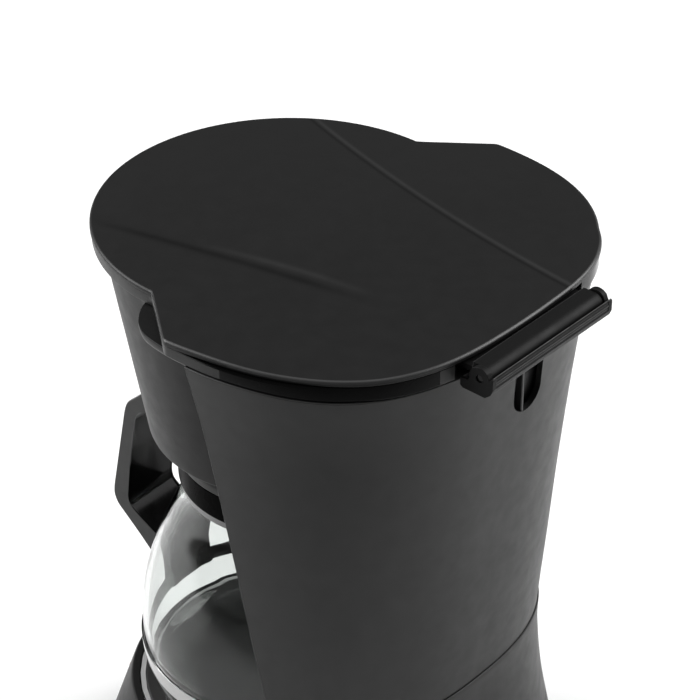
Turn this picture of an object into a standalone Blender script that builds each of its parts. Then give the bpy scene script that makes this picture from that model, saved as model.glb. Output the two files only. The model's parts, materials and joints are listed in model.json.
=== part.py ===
"""Drip coffee maker: brewing body, hinged lid, glass jug and the parts inside.

Metres, +Z up.  The handle of the jug points to -Y, the lid hinge is at +Y.
The origin is on the table, under the middle of the whole object.
Plan sizes are given from the body axis, the middle of the rear outline.
"""
from math import acos, atan2, cos, hypot, pi, radians, sin, sqrt

import bmesh
import bpy
from mathutils import Matrix, Vector

# ---------------------------------------------------------------- driving sizes
HALF_WIDTH = 0.092           # half the width of the lid and of the body
BACK_DEPTH = 0.0851          # body axis to the flat back
ROUNDNESS = 2.5              # power of the rear superellipse
FRONT_Y = -0.0269            # axis of the round housing, the jug and the hot plate
NOTCH_SLOPE = (-0.0217, -0.0280)   # direction of the slanting edge from the widest point

TOTAL_HEIGHT = 0.282
BODY_TOP = 0.2752            # top edge of the shells
SEAM_Z = 0.112               # waist seam between the rear shell and the base
DECK_Z = 0.0600              # top of the base around the hot plate
PLATE_Z = 0.0602             # top of the hot plate
HOUSING_Z = 0.190            # underside of the round housing
BASE_Z = 0.004               # lower edge of the base shell
COVER_TOP = 0.0072           # the bottom cover ends just below this
WALL = 0.0024
GAP = 0.0003

HOUSING_TOP_R = 0.0687       # outer radius of the housing at the body top
HOUSING_LOW_R = 0.0552
BASE_TOP_R = 0.0682
BASE_LOW_R = 0.0869
BASE_STEP_Z = 0.059
LID_FRONT_R = 0.0723
RECESS_R = 0.0658            # hollow of the column behind the jug
BACKPLATE_GAP = 0.0006

HINGE_Y, HINGE_Z = 0.0914, 0.2772
BARREL_R = 0.0036
LEAF_HALF = 0.0311
BRACKET_HALF = 0.0348
BRACKET_BACK = 0.0984
SLOT_X = -0.0073             # middle of the overflow slot, and of the fin in it
FIN_X = -0.0055
HANDLE_FRONT = 0.1183
BODY_Y = (HANDLE_FRONT - BRACKET_BACK) / 2      # puts the origin under the middle

# height of a section and its size against the full width
BODY_SECTIONS = ((0.004, 0.992), (0.0428, 0.920), (0.0704, 0.866), (0.098, 0.836),
                 (0.112, 0.8365), (0.150, 0.865), (0.190, 0.895), (0.245, 0.950), (0.2752, 1.0))

# jug: outer radius of the glass at each height, base to neck
GLASS_OUTSIDE = ((0.0605, 0.0510), (0.0622, 0.0555), (0.0655, 0.0582), (0.0704, 0.0601),
                 (0.0785, 0.0616), (0.0865, 0.0622), (0.098, 0.0620), (0.112, 0.0600),
                 (0.126, 0.0560), (0.140, 0.0502), (0.152, 0.0446), (0.160, 0.0428), (0.176, 0.0422))
GLASS_WALL = 0.0020
BAND_LOW, BAND_TOP = 0.0786, 0.0858      # steel strap round the belly of the jug

BASE_PROUD = 0.0006          # the base stands this far outside the rear shell
TANK_HALF = 0.0500
TANK_RECESS = 0.0730
TANK_LOW, TANK_TOP = 0.084, 0.264
OUTLET = (0.024, 0.056)      # tank outlet and check valve
BALL_Z = 0.0672              # the valve ball, resting
RISER = (-0.0575, 0.0432)
ARM_Z, ARM_R = 0.2702, 0.0036
HEATER_END = (0.022, 0.0150, 0.0485)
HEATER_Z = 0.0532
SCREW_SPOTS = ((0.045, -0.072), (-0.045, -0.072), (0.070, 0.010), (-0.070, 0.010))
FOOT_SPOTS = ((0.057, -0.062), (-0.057, -0.062), (0.057, 0.050), (-0.057, 0.050))
CORNERS = ("front_right", "front_left", "rear_right", "rear_left")
INLET = (-0.034, 0.0804, 0.0200)
SWITCH_Z = 0.0320
SWITCH_LEAN = radians(18.8)
HANDLE_HALF = 0.0132

PARTS = None
CUTTERS = None
ROOT = None


# ---------------------------------------------------------------- scene and materials
def start_scene():
    """Empty the file and make the two collections and the root empty."""
    global PARTS, CUTTERS, ROOT
    for obj in list(bpy.data.objects):
        bpy.data.objects.remove(obj, do_unlink=True)
    PARTS = bpy.data.collections.new("drip_coffee_maker")
    CUTTERS = bpy.data.collections.new("cutters")
    for group in (PARTS, CUTTERS):
        bpy.context.scene.collection.children.link(group)
    ROOT = bpy.data.objects.new("body_axis", None)
    ROOT.location = (0, BODY_Y, 0)
    PARTS.objects.link(ROOT)


def material(name, colour, roughness, metallic=0.0, alpha=1.0, transmission=0.0):
    mat = bpy.data.materials.new(name)
    mat.use_nodes = True
    shader = mat.node_tree.nodes["Principled BSDF"]
    shader.inputs["Base Color"].default_value = (*colour, 1)
    shader.inputs["Roughness"].default_value = roughness
    shader.inputs["Metallic"].default_value = metallic
    shader.inputs["Alpha"].default_value = alpha
    shader.inputs["Transmission Weight"].default_value = transmission
    return mat


def make_materials():
    return {
        "satin": material("satin_black_plastic", (0.030, 0.031, 0.030), 0.45),
        "gloss": material("gloss_black_plastic", (0.012, 0.012, 0.012), 0.15),
        "inner": material("grey_inner_plastic", (0.09, 0.09, 0.09), 0.55),
        "glass": material("clear_glass", (0.9, 0.92, 0.92), 0.03, alpha=0.35, transmission=1.0),
        "plate": material("coated_hot_plate", (0.02, 0.02, 0.02), 0.5, 0.4),
        "alloy": material("cast_aluminium", (0.55, 0.55, 0.56), 0.45, 1.0),
        "steel": material("steel", (0.6, 0.6, 0.6), 0.3, 1.0),
        "silicone": material("silicone", (0.45, 0.44, 0.42), 0.6),
        "rubber": material("black_rubber", (0.02, 0.02, 0.02), 0.85),
        "ceramic": material("white_ceramic", (0.75, 0.74, 0.70), 0.5),
        "lamp": material("red_lamp", (0.5, 0.02, 0.01), 0.2),
    }


# ---------------------------------------------------------------- placing objects
def add_object(name, data, mat=None, pivot=(0, 0, 0), parent=None, cutter=False):
    """Link an object whose data is in body coordinates; its origin goes to the pivot."""
    pivot = Vector(pivot)
    data.transform(Matrix.Translation(-pivot))
    obj = bpy.data.objects.new(name, data)
    (CUTTERS if cutter else PARTS).objects.link(obj)
    obj.parent = parent or ROOT
    obj.location = pivot
    if mat:
        data.materials.append(mat)
    if cutter:
        obj.hide_render = True
        obj.display_type = "WIRE"
    return obj


def to_mesh(name, bm, smooth=True, angle=35):
    mesh = bpy.data.meshes.new(name)
    bm.to_mesh(mesh)
    bm.free()
    if smooth:
        mesh.shade_smooth()
        mesh.set_sharp_from_angle(angle=radians(angle))
    return mesh


def boolean(obj, other, operation="DIFFERENCE"):
    mod = obj.modifiers.new(operation.lower() + "_" + other.name, "BOOLEAN")
    mod.operation = operation
    mod.object = other
    mod.solver = "EXACT"
    return mod


def bevel(obj, width, segments=2, angle=40):
    mod = obj.modifiers.new("rounded_edges", "BEVEL")
    mod.width = width
    mod.segments = segments
    mod.limit_method = "ANGLE"
    mod.angle_limit = radians(angle)
    mod.use_clamp_overlap = True
    return mod


# ---------------------------------------------------------------- mesh builders
def loft(name, rings, closed=False, **place):
    """Skin rings of points that run anticlockwise; the ends are capped unless closed."""
    bm = bmesh.new()
    loops = [[bm.verts.new(point) for point in ring] for ring in rings]
    count = len(loops[0])
    pairs = list(zip(loops[:-1], loops[1:]))
    if closed:
        pairs.append((loops[-1], loops[0]))
    for low, high in pairs:
        for i in range(count):
            k = (i + 1) % count
            bm.faces.new((low[i], low[k], high[k], high[i]))
    if not closed:
        bm.faces.new(list(reversed(loops[0])))
        bm.faces.new(loops[-1])
    return add_object(name, to_mesh(name, bm), **place)


def sheet(name, rows, thickness, **place):
    """An open surface through rows of points, thickened away from its outer face."""
    bm = bmesh.new()
    grid = [[bm.verts.new(point) for point in row] for row in rows]
    for low, high in zip(grid[:-1], grid[1:]):
        for i in range(len(low) - 1):
            bm.faces.new((low[i], low[i + 1], high[i + 1], high[i]))
    obj = add_object(name, to_mesh(name, bm), **place)
    mod = obj.modifiers.new("wall", "SOLIDIFY")
    mod.thickness = thickness
    mod.offset = -1
    return obj


def prism(name, outline, low, high, axis="Z", **place):
    """Extrude an outline along an axis; it is given as (x, y), (y, z) or (x, z) points."""
    bm = bmesh.new()
    spots = {"Z": lambda a, b: (a, b, low), "X": lambda a, b: (low, a, b),
             "Y": lambda a, b: (a, low, b)}[axis]
    face = bm.faces.new([bm.verts.new(spots(a, b)) for a, b in outline])
    step = {"Z": (0, 0, high - low), "X": (high - low, 0, 0), "Y": (0, high - low, 0)}[axis]
    grown = bmesh.ops.extrude_face_region(bm, geom=[face])
    moved = [item for item in grown["geom"] if isinstance(item, bmesh.types.BMVert)]
    bmesh.ops.translate(bm, vec=step, verts=moved)
    bmesh.ops.recalc_face_normals(bm, faces=bm.faces)
    return add_object(name, to_mesh(name, bm), **place)


def block(name, low, high, **place):
    bm = bmesh.new()
    bmesh.ops.create_cube(bm, size=1.0)
    size = [b - a for a, b in zip(low, high)]
    middle = [(a + b) / 2 for a, b in zip(low, high)]
    bmesh.ops.scale(bm, vec=size, verts=bm.verts)
    bmesh.ops.translate(bm, vec=middle, verts=bm.verts)
    return add_object(name, to_mesh(name, bm, smooth=False), **place)


def rods(name, radius, ends, segments=16, **place):
    """One mesh of straight rods, each from its first end to its second."""
    bm = bmesh.new()
    for start, end in ends:
        start, end = Vector(start), Vector(end)
        run = end - start
        turn = Vector((0, 0, 1)).rotation_difference(run).to_matrix().to_4x4()
        spot = Matrix.Translation((start + end) / 2) @ turn
        bmesh.ops.create_cone(bm, cap_ends=True, segments=segments, radius1=radius,
                              radius2=radius, depth=run.length, matrix=spot)
    return add_object(name, to_mesh(name, bm), **place)


def turned(name, profile, closed=True, centre=(0, FRONT_Y), steps=48, mat=None, parent=None,
           cutter=False, pivot_z=0.0):
    """Turn a profile of (radius, height) points about an upright axis.

    The outer side runs from top to bottom.  An open profile starts and ends on the axis.
    """
    mesh = bpy.data.meshes.new(name)
    count = len(profile)
    edges = [(i, i + 1) for i in range(count - 1)]
    if closed:
        edges.append((count - 1, 0))
    mesh.from_pydata([(r, 0, z - pivot_z) for r, z in profile], edges, [])
    obj = add_object(name, mesh, mat, parent=parent, cutter=cutter)
    obj.location = (*centre, pivot_z)
    mod = obj.modifiers.new("turn", "SCREW")
    mod.axis = "Z"
    mod.angle = 2 * pi
    mod.steps = steps
    mod.render_steps = steps
    mod.use_merge_vertices = True
    mod.merge_threshold = 0.00001
    mod.use_smooth_shade = True
    return obj


def tube(name, points, radius, mat, resolution=3, parent=None):
    """A round tube along a poly line of points."""
    curve = bpy.data.curves.new(name, "CURVE")
    curve.dimensions = "3D"
    curve.bevel_depth = radius
    curve.bevel_resolution = resolution
    curve.use_fill_caps = True
    spline = curve.splines.new("POLY")
    spline.points.add(len(points) - 1)
    for spot, point in zip(spline.points, points):
        spot.co = (*point, 1)
    return add_object(name, curve, mat, parent=parent)


# ---------------------------------------------------------------- curves and sections
def smooth_value(table, at):
    """Read a table of (place, value) pairs along a smooth curve through them."""
    if at <= table[0][0]:
        return table[0][1]
    for i in range(len(table) - 1):
        (x0, y0), (x1, y1) = table[i], table[i + 1]
        if at <= x1:
            before = table[max(i - 1, 0)]
            after = table[min(i + 2, len(table) - 1)]
            m0 = (y1 - before[1]) / (x1 - before[0])
            m1 = (after[1] - y0) / (after[0] - x0)
            t, run = (at - x0) / (x1 - x0), x1 - x0
            return (y0 * (2 * t**3 - 3 * t**2 + 1) + m0 * run * (t**3 - 2 * t**2 + t)
                    + y1 * (3 * t**2 - 2 * t**3) + m1 * run * (t**3 - t**2))
    return table[-1][1]


def smooth_path(points, steps=6):
    """Points along a smooth curve through the given ones."""
    points = [Vector(p) for p in points]
    path = []
    for i in range(len(points) - 1):
        p0, p1 = points[max(i - 1, 0)], points[i]
        p2, p3 = points[i + 1], points[min(i + 2, len(points) - 1)]
        for k in range(steps):
            t = k / steps
            path.append(0.5 * (2 * p1 + (p2 - p0) * t + (2 * p0 - 5 * p1 + 4 * p2 - p3) * t**2
                               + (3 * p1 - p0 - 3 * p2 + p3) * t**3))
    return path + [points[-1]]


def levels(low, high, count):
    return [low + (high - low) * i / (count - 1) for i in range(count)]


def body_scale(z):
    return smooth_value(BODY_SECTIONS, z)


def housing_radius(z):
    """The round housing is a cone that widens towards the lid."""
    rise = (z - HOUSING_Z) / (BODY_TOP - HOUSING_Z)
    return HOUSING_LOW_R + (HOUSING_TOP_R - HOUSING_LOW_R) * rise


def base_radius(z):
    rise = (z - BASE_Z) / (BASE_STEP_Z - BASE_Z)
    return BASE_LOW_R + (BASE_TOP_R - BASE_LOW_R) * rise


def column_front(z):
    """How far back the front edges of the column stand: they lean towards the waist."""
    return 0.0087 + 0.115 * (TOTAL_HEIGHT - z)


def side_x(z, y, inset=0.0):
    """Half the width of the rear outline at a height and a distance from the body axis."""
    scale = body_scale(z)
    depth = BACK_DEPTH * scale - inset
    width = HALF_WIDTH * scale - inset
    return width * (1 - min(abs(y) / depth, 1) ** ROUNDNESS) ** (1 / ROUNDNESS)


def back_y(z, x, inset=0.0):
    scale = body_scale(z)
    depth = BACK_DEPTH * scale - inset
    width = HALF_WIDTH * scale - inset
    return depth * (1 - min(abs(x) / width, 1) ** ROUNDNESS) ** (1 / ROUNDNESS)


def rear_arc(z, count, inset=0.0, front=None):
    """The rear outline from the right front edge round the back to the left one."""
    scale = body_scale(z)
    width, depth = HALF_WIDTH * scale - inset, BACK_DEPTH * scale - inset
    front = column_front(z) if front is None else front
    start = (front / depth) ** (ROUNDNESS / 2)
    first = atan2(start, sqrt(1 - start**2))
    points = []
    for angle in levels(first, pi - first, count):
        c, s = cos(angle), sin(angle)
        points.append((width * abs(c) ** (2 / ROUNDNESS) * (1 if c > 0 else -1),
                       depth * abs(s) ** (2 / ROUNDNESS)))
    return points


def notch_angle(width, radius):
    """Where the slanting edge from the widest point of the lid meets the round front."""
    run = 0.0
    while hypot(width + NOTCH_SLOPE[0] * run, NOTCH_SLOPE[1] * run - FRONT_Y) > radius:
        run += 0.002
    return atan2(NOTCH_SLOPE[1] * run - FRONT_Y, width + NOTCH_SLOPE[0] * run)


def tangent_angle(width, radius):
    """Where a straight line from the widest point just touches the round front."""
    return atan2(-FRONT_Y, width) - acos(radius / hypot(width, FRONT_Y))


def plan_outline(width, depth, radius, turn, arc=13, side=2, rear=12):
    """Round front, straight edge, superellipse back: anticlockwise from the front."""
    end = turn(width, radius)
    half = [(radius * cos(a), FRONT_Y + radius * sin(a)) for a in levels(-pi / 2, end, arc)]
    x, y = half[-1]
    half += [(x + (width - x) * t, y * (1 - t)) for t in levels(0, 1, side + 1)[1:]]
    for angle in levels(0, pi / 2, rear + 1)[1:]:
        half.append((width * cos(angle) ** (2 / ROUNDNESS) if angle < pi / 2 else 0.0,
                     depth * sin(angle) ** (2 / ROUNDNESS)))
    return half + [(-px, py) for px, py in half[-2:0:-1]]


def at_height(outline, z):
    return [(x, y, z) for x, y in outline]


def base_outline(z, inset=0.0):
    scale, grow = body_scale(z), BASE_PROUD - inset
    return plan_outline(HALF_WIDTH * scale + grow, BACK_DEPTH * scale + grow,
                        base_radius(z) + grow, tangent_angle)


def lid_outline(inset=0.0):
    return plan_outline(HALF_WIDTH - inset, BACK_DEPTH - inset, LID_FRONT_R - inset,
                        notch_angle, arc=20, side=2, rear=18)


# ---------------------------------------------------------------- shells
def rear_u_shell(name, low, high, count, mat=None, grow=0.0, cutter=False):
    """The wall of the rear outline, open at the front."""
    rows = [at_height(rear_arc(z, 27, -grow), z) for z in levels(low, high, count)]
    return sheet(name, rows, WALL, mat=mat, cutter=cutter)


def slot_outline(half, low, high, count=8):
    """A slot with a round lower end, as (x, z) points."""
    arc = [(SLOT_X + half * cos(a), low + half + half * sin(a)) for a in levels(pi, 2 * pi, count)]
    return [(SLOT_X - half, high)] + arc + [(SLOT_X + half, high)]


def rear_shell(mats):
    shell = rear_u_shell("rear_shell", SEAM_Z + GAP, BODY_TOP - 0.0005, 9, mats["satin"])
    slot = prism("overflow_slot", slot_outline(0.0077, 0.2385, 0.2640), 0.070, 0.095, "Y",
                 cutter=True)
    boolean(shell, slot)
    low, high = back_y(0.2375, FIN_X), back_y(0.2650, FIN_X)
    fin = [(low - 0.0022, 0.2375), (low - 0.0002, 0.2375), (high - 0.0002, 0.2650), (high - 0.0022, 0.2650)]
    boolean(shell, prism("slot_fin", fin, FIN_X - 0.0007, FIN_X + 0.0007, "X", cutter=True), "UNION")
    window = block("gauge_slot", (-0.100, 0.0410, 0.128), (-0.040, 0.0480, 0.246), cutter=True)
    boolean(shell, window)
    return shell


def water_gauge(mats):
    """The clear pane that fills the gauge slot, cut from the same wall."""
    pane = rear_u_shell("water_gauge", 0.120, 0.255, 8, mats["glass"])
    low, high = (-0.100, 0.0410 + GAP, 0.128 + GAP), (-0.040, 0.0480 - GAP, 0.246 - GAP)
    boolean(pane, block("gauge_pane", low, high, cutter=True), "INTERSECT")
    return pane


def panel_rows(low, high, count, radius):
    """Rows of a panel that is flat at the sides and hollow around the housing axis."""
    rows = []
    for z in levels(low, high, count):
        y = column_front(z) + 0.0010
        edge = side_x(z, y + WALL, WALL) - 0.0012
        bend = sqrt(radius(z) ** 2 - (y - FRONT_Y) ** 2)
        first = atan2(y - FRONT_Y, -bend)
        last = atan2(y - FRONT_Y, bend)
        arc = [(radius(z) * cos(a), FRONT_Y + radius(z) * sin(a)) for a in levels(first, last, 13)]
        row = [(-edge, y), (-(edge + bend) / 2, y)] + arc + [((edge + bend) / 2, y), (edge, y)]
        rows.append(at_height(row, z))
    return rows


def column_panel(mats):
    rows = panel_rows(DECK_Z + GAP, HOUSING_Z - 2 * GAP, 5, lambda z: RECESS_R)
    return sheet("column_panel", rows, WALL, mat=mats["satin"])


def housing_backplate(mats):
    rows = panel_rows(HOUSING_Z + 2 * GAP, 0.2640, 4, lambda z: housing_radius(z) + BACKPLATE_GAP)
    return sheet("housing_backplate", rows, 0.0018, mat=mats["inner"])


def ear(side):
    """A corner of the deck that shows beside the lid, carried by a sloping rib."""
    arc_points = [(0.0727, -0.0276), (0.0805, -0.0228), (0.0837, -0.0184), (0.0872, -0.0120),
                  (0.0883, -0.0060), (0.0885, 0.0080)]
    inner = [(0.0560, 0.0080), (0.0660, -0.0140), (0.0670, -0.0300)]
    top = arc_points + inner
    low = []
    for x, y in top:
        reach = hypot(x, y - FRONT_Y)
        shrink = min(1.0, (housing_radius(0.256) - 0.0010) / reach)
        low.append((x * shrink, FRONT_Y + (y - FRONT_Y) * shrink))
    rings = [at_height(low, 0.2560), at_height(top, 0.2724), at_height(top, BODY_TOP)]
    if side < 0:
        rings = [[(-x, y, z) for x, y, z in reversed(ring)] for ring in rings]
    return loft("ear_right" if side > 0 else "ear_left", rings, cutter=True)


def front_shell(mats):
    """The round housing that holds the filter basket, with the two lid corners."""
    edge = 0.0014
    outside = [(housing_radius(z), z) for z in levels(BODY_TOP, HOUSING_Z + edge, 4)]
    outside += [(HOUSING_LOW_R - 0.0004, HOUSING_Z + 0.0004), (HOUSING_LOW_R - edge, HOUSING_Z)]
    inside = [(0.0095, HOUSING_Z), (0.0095, HOUSING_Z + WALL)]
    inside += [(housing_radius(z) - WALL, z) for z in levels(HOUSING_Z + WALL, BODY_TOP, 3)]
    shell = turned("front_shell", outside + inside, steps=56, mat=mats["satin"])
    for side in (1, -1):
        boolean(shell, ear(side), "UNION")
    boolean(shell, arm_notch())
    return shell


def column_opening():
    """The hole in the deck under the column, for the tank and the tubes."""
    rows = []
    for z in (0.0500, 0.0700):
        points = rear_arc(z, 25, WALL + 0.0002 - BASE_PROUD, column_front(z) + 0.0040)
        front = []
        for x in levels(points[-1][0], points[0][0], 15)[1:-1]:
            hollow = FRONT_Y + sqrt(max((RECESS_R + WALL + GAP) ** 2 - x**2, 0))
            front.append((x, max(points[0][1], hollow)))
        rows.append(at_height(points + front, z))
    return loft("column_opening", rows, cutter=True)


def base_shell(mats):
    outer = [at_height(base_outline(z), z) for z in levels(BASE_Z, BASE_STEP_Z, 6)]
    outer.append(at_height(base_outline(BASE_STEP_Z, 0.0012), DECK_Z))
    shell = loft("base_shell", outer, mat=mats["satin"])
    heights = (-0.001, COVER_TOP, 0.025, 0.0576)
    inner = [at_height(base_outline(max(z, COVER_TOP), WALL), z) for z in heights]
    boolean(shell, loft("base_hollow", inner, cutter=True))
    column = rear_u_shell("base_column", DECK_Z - 0.0015, SEAM_Z, 6, grow=BASE_PROUD, cutter=True)
    boolean(shell, column, "UNION")
    boolean(shell, column_opening())
    ledge = [(0.0665, 0.0586), (0.0665, 0.0536), (0.0570, 0.0536), (0.0570, 0.0586)]
    boolean(shell, turned("plate_ledge", ledge, cutter=True), "UNION")
    well = [(0, 0.070), (0.0650, 0.070), (0.0650, 0.0561), (0.0578, 0.0561), (0.0578, 0.045), (0, 0.045)]
    boolean(shell, turned("plate_well", well, closed=False, cutter=True))
    posts = [((x, y, 0.0072), (x, y, 0.0548 if y < 0 else 0.0588)) for x, y in SCREW_SPOTS]
    boolean(shell, rods("screw_posts", 0.0038, posts, cutter=True), "UNION")
    holes = [((x, y, 0.000), (x, y, 0.0200)) for x, y in SCREW_SPOTS]
    boolean(shell, rods("post_bores", 0.0017, holes, segments=12, cutter=True))
    boolean(shell, switch_block("switch_cutout", GAP, cutter=True))
    boolean(shell, lamp_rod("lamp_cutout", 0.0033, -0.010, 0.006, cutter=True))
    x, y, z = INLET
    boolean(shell, rods("inlet_bore", 0.0063, [((x, y - 0.016, z), (x, y + 0.016, z))], 24, cutter=True))
    return shell


def bottom_cover(mats):
    rings = [at_height(base_outline(COVER_TOP, WALL + 0.0006), z) for z in (0.0043, COVER_TOP - 0.0005)]
    cover = loft("bottom_cover", rings, mat=mats["satin"])
    holes = [((x, y, 0.000), (x, y, 0.0100)) for x, y in SCREW_SPOTS]
    boolean(cover, rods("cover_holes", 0.0020, holes, segments=12, cutter=True))
    return cover


# ---------------------------------------------------------------- lid and hinge
def lid_parts(mats):
    pivot = bpy.data.objects.new("lid_axis", None)
    PARTS.objects.link(pivot)
    pivot.parent = ROOT
    pivot.location = (0, HINGE_Y, HINGE_Z)
    axis = (0, HINGE_Y, HINGE_Z)

    def settle(obj):
        obj.parent = pivot
        obj.location = (0, 0, 0)
        return obj

    top = [(0.2792, 0.0), (0.2808, 0.0), (0.2816, 0.0004), (TOTAL_HEIGHT, 0.0012)]
    rings = [at_height(lid_outline(inset), z) for z, inset in top]
    settle(loft("lid_panel", rings, mat=mats["satin"], pivot=axis))

    skirt = [(0.0005, 0.2755), (0.0005, 0.2789), (0.0034, 0.2789), (0.0034, 0.2755)]
    rings = [at_height(lid_outline(inset), z) for inset, z in skirt]
    ring = settle(loft("lid_skirt", rings, closed=True, mat=mats["gloss"], pivot=axis))
    boolean(ring, block("leaf_gate", (-0.0340, 0.070, 0.270), (0.0340, 0.100, 0.285), cutter=True))

    profile = [(0.0700, 0.2766), (HINGE_Y, 0.2766), (HINGE_Y, 0.2807), (0.0868, 0.2807), (0.0863, 0.2802),
               (0.0863, 0.2788), (0.0700, 0.2788)]
    leaf = settle(prism("hinge_leaf", profile, -LEAF_HALF, LEAF_HALF, "X", mat=mats["satin"], pivot=axis))
    barrel = rods("barrel", BARREL_R, [on_hinge(-LEAF_HALF, LEAF_HALF)], 28, cutter=True)
    boolean(leaf, barrel, "UNION")
    bores = [on_hinge(side * 0.0275, side * 0.0320) for side in (-1, 1)]
    boolean(leaf, rods("barrel_bores", 0.0015, bores, cutter=True))


def on_hinge(start, end):
    """Two points on the hinge axis."""
    return (start, HINGE_Y, HINGE_Z), (end, HINGE_Y, HINGE_Z)


def hinge_bracket(mats):
    """A ledge behind the body with a trough for the barrel and an ear at each end."""
    shelf = [(0.076, 0.2705), (0.0952, 0.2705), (0.0975, 0.2724), (0.0984, 0.2745), (0.0984, 0.2788),
             (0.0978, 0.2792), (0.0967, 0.2788), (0.0952, 0.2748), (0.076, 0.2748)]
    bracket = prism("hinge_bracket", shelf, -BRACKET_HALF, BRACKET_HALF, "X", mat=mats["satin"])
    trough = [on_hinge(-LEAF_HALF - 0.0005, LEAF_HALF + 0.0005)]
    boolean(bracket, rods("trough", 0.0040, trough, 28, cutter=True))
    for side, name in ((1, "right_cheek"), (-1, "left_cheek")):
        ends = [on_hinge(side * (LEAF_HALF + 0.0005), side * (BRACKET_HALF - 0.0001))]
        boolean(bracket, rods(name, 0.0044, ends, 28, cutter=True), "UNION")
    boolean(bracket, rods("pin_bore", 0.0015, [on_hinge(-0.040, 0.040)], cutter=True))
    rings = [at_height(rear_arc(z, 41, -0.0004, 0.005), z) for z in (0.2600, 0.2690, 0.2752, 0.2800)]
    boolean(bracket, loft("body_relief", rings, cutter=True))
    for side, name in ((1, "hinge_pin_right"), (-1, "hinge_pin_left")):
        rods(name, 0.0012, [on_hinge(side * 0.0280, side * (BRACKET_HALF - 0.0003))], mat=mats["steel"])
    return bracket


# ---------------------------------------------------------------- water way
def tank_outline(z, inset):
    half = TANK_HALF - inset
    front = column_front(z) + 0.0052 + inset
    hollow = TANK_RECESS + inset
    back = [(x, back_y(z, x, 0.0042 + inset)) for x in levels(half, -half, 15)]
    near = []
    for x in levels(-half, half, 15):
        near.append((x, max(front, FRONT_Y + sqrt(max(hollow**2 - x**2, 0)))))
    return back + near


def water_tank(mats):
    heights = levels(TANK_LOW, TANK_TOP, 6)
    rings = [at_height(tank_outline(z, 0), z) for z in heights]
    rings += [at_height(tank_outline(z, 0.0018), z) for z in reversed(levels(TANK_LOW + 0.002, TANK_TOP, 6))]
    tank = loft("water_tank", rings, mat=mats["inner"])
    x, y = OUTLET
    boolean(tank, rods("tank_spigot", 0.0045, [((x, y, 0.0775), (x, y, 0.0850))], cutter=True), "UNION")
    boolean(tank, rods("spigot_bore", 0.0026, [((x, y, 0.0700), (x, y, 0.0900))], cutter=True))
    return tank


def check_valve(mats):
    outside = [(0.0045, 0.0771), (0.0065, 0.0765), (0.0065, 0.0635), (0.0045, 0.0620)]
    inside = [(0.0020, 0.0620), (0.0020, 0.0650), (0.0036, 0.0668), (0.0036, 0.0735),
              (0.0020, 0.0752), (0.0020, 0.0771)]
    turned("check_valve_body", outside + inside, centre=OUTLET, steps=18, mat=mats["inner"])
    bm = bmesh.new()
    bmesh.ops.create_uvsphere(bm, u_segments=16, v_segments=8, radius=0.0027,
                              matrix=Matrix.Translation((*OUTLET, BALL_Z)))
    add_object("check_valve_ball", to_mesh("check_valve_ball", bm, angle=60), mats["steel"],
               pivot=(*OUTLET, BALL_Z))


def water_tubes(mats):
    x, y, z = HEATER_END
    inlet = [(*OUTLET, 0.0612), (*OUTLET, 0.0575), (0.0240, 0.0545, 0.0532), (0.0238, 0.0495, 0.0498),
             (0.0232, 0.0410, 0.0486), (0.0222, 0.0260, z), (x, y + 0.0005, z)]
    tube("inlet_hose", smooth_path(inlet, 4), 0.0038, mats["silicone"])
    outlet = [(-x, y + 0.0005, z), (-0.0222, 0.0260, z), (-0.0265, 0.0380, z), (-0.0400, 0.0440, 0.0490),
              (-0.0520, 0.0445, 0.0525), (-0.0570, 0.0434, 0.0590), (*RISER, 0.0650), (*RISER, 0.0694)]
    tube("outlet_hose", smooth_path(outlet, 4), 0.0038, mats["silicone"])
    tube("riser_tube", [(*RISER, z) for z in levels(0.0698, 0.2650, 8)], 0.0031, mats["inner"])
    for name, spot, turn in (("hose_clamp_tank", (*OUTLET, 0.0592), "Z"),
                             ("hose_clamp_heater_in", (x, y + 0.0050, z), "Y"),
                             ("hose_clamp_heater_out", (-x, y + 0.0050, z), "Y"),
                             ("hose_clamp_riser", (*RISER, 0.0672), "Z")):
        clamp = [(0.0052, 0.0014), (0.0052, -0.0014), (0.0044, -0.0014), (0.0044, 0.0014)]
        ring = turned(name, clamp, steps=20, mat=mats["steel"])
        ring.location = spot
        if turn == "Y":
            ring.rotation_euler = (pi / 2, 0, 0)


def arm_path():
    """From the top of the riser over the rim of the housing to the middle of the basket."""
    bend = 0.004
    top = Vector((*RISER, ARM_Z))
    middle = Vector((0, FRONT_Y, ARM_Z))
    along = (middle - top).normalized()
    return [(*RISER, 0.2654), (*RISER, ARM_Z - bend), tuple(top + along * 0.0012 - Vector((0, 0, 0.0012))),
            tuple(top + along * bend), tuple(middle - along * bend),
            tuple(middle - along * 0.0012 - Vector((0, 0, 0.0012))),
            (0, FRONT_Y, ARM_Z - bend), (0, FRONT_Y, 0.2645)]


def spray_spout(mats):
    tube("spray_spout", arm_path(), ARM_R, mats["inner"])
    head = [(0, 0.2642), (0.0150, 0.2636), (0.0165, 0.2612), (0.0165, 0.2596), (0, 0.2596)]
    turned("spray_head", head, closed=False, steps=32, mat=mats["inner"])


def arm_notch():
    """Room for the spout where it crosses the rim of the housing."""
    start, end = Vector((*RISER, 0)), Vector((0, FRONT_Y, 0))
    along = (end - start).normalized()
    across = Vector((-along.y, along.x, 0)) * (ARM_R + 0.0008)
    far, near = start, start + along * 0.045
    outline = [(p.x, p.y) for p in (far - across, near - across, near + across, far + across)]
    return prism("arm_notch", outline, ARM_Z - ARM_R - 0.0008, 0.300, "Z", cutter=True)


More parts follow.
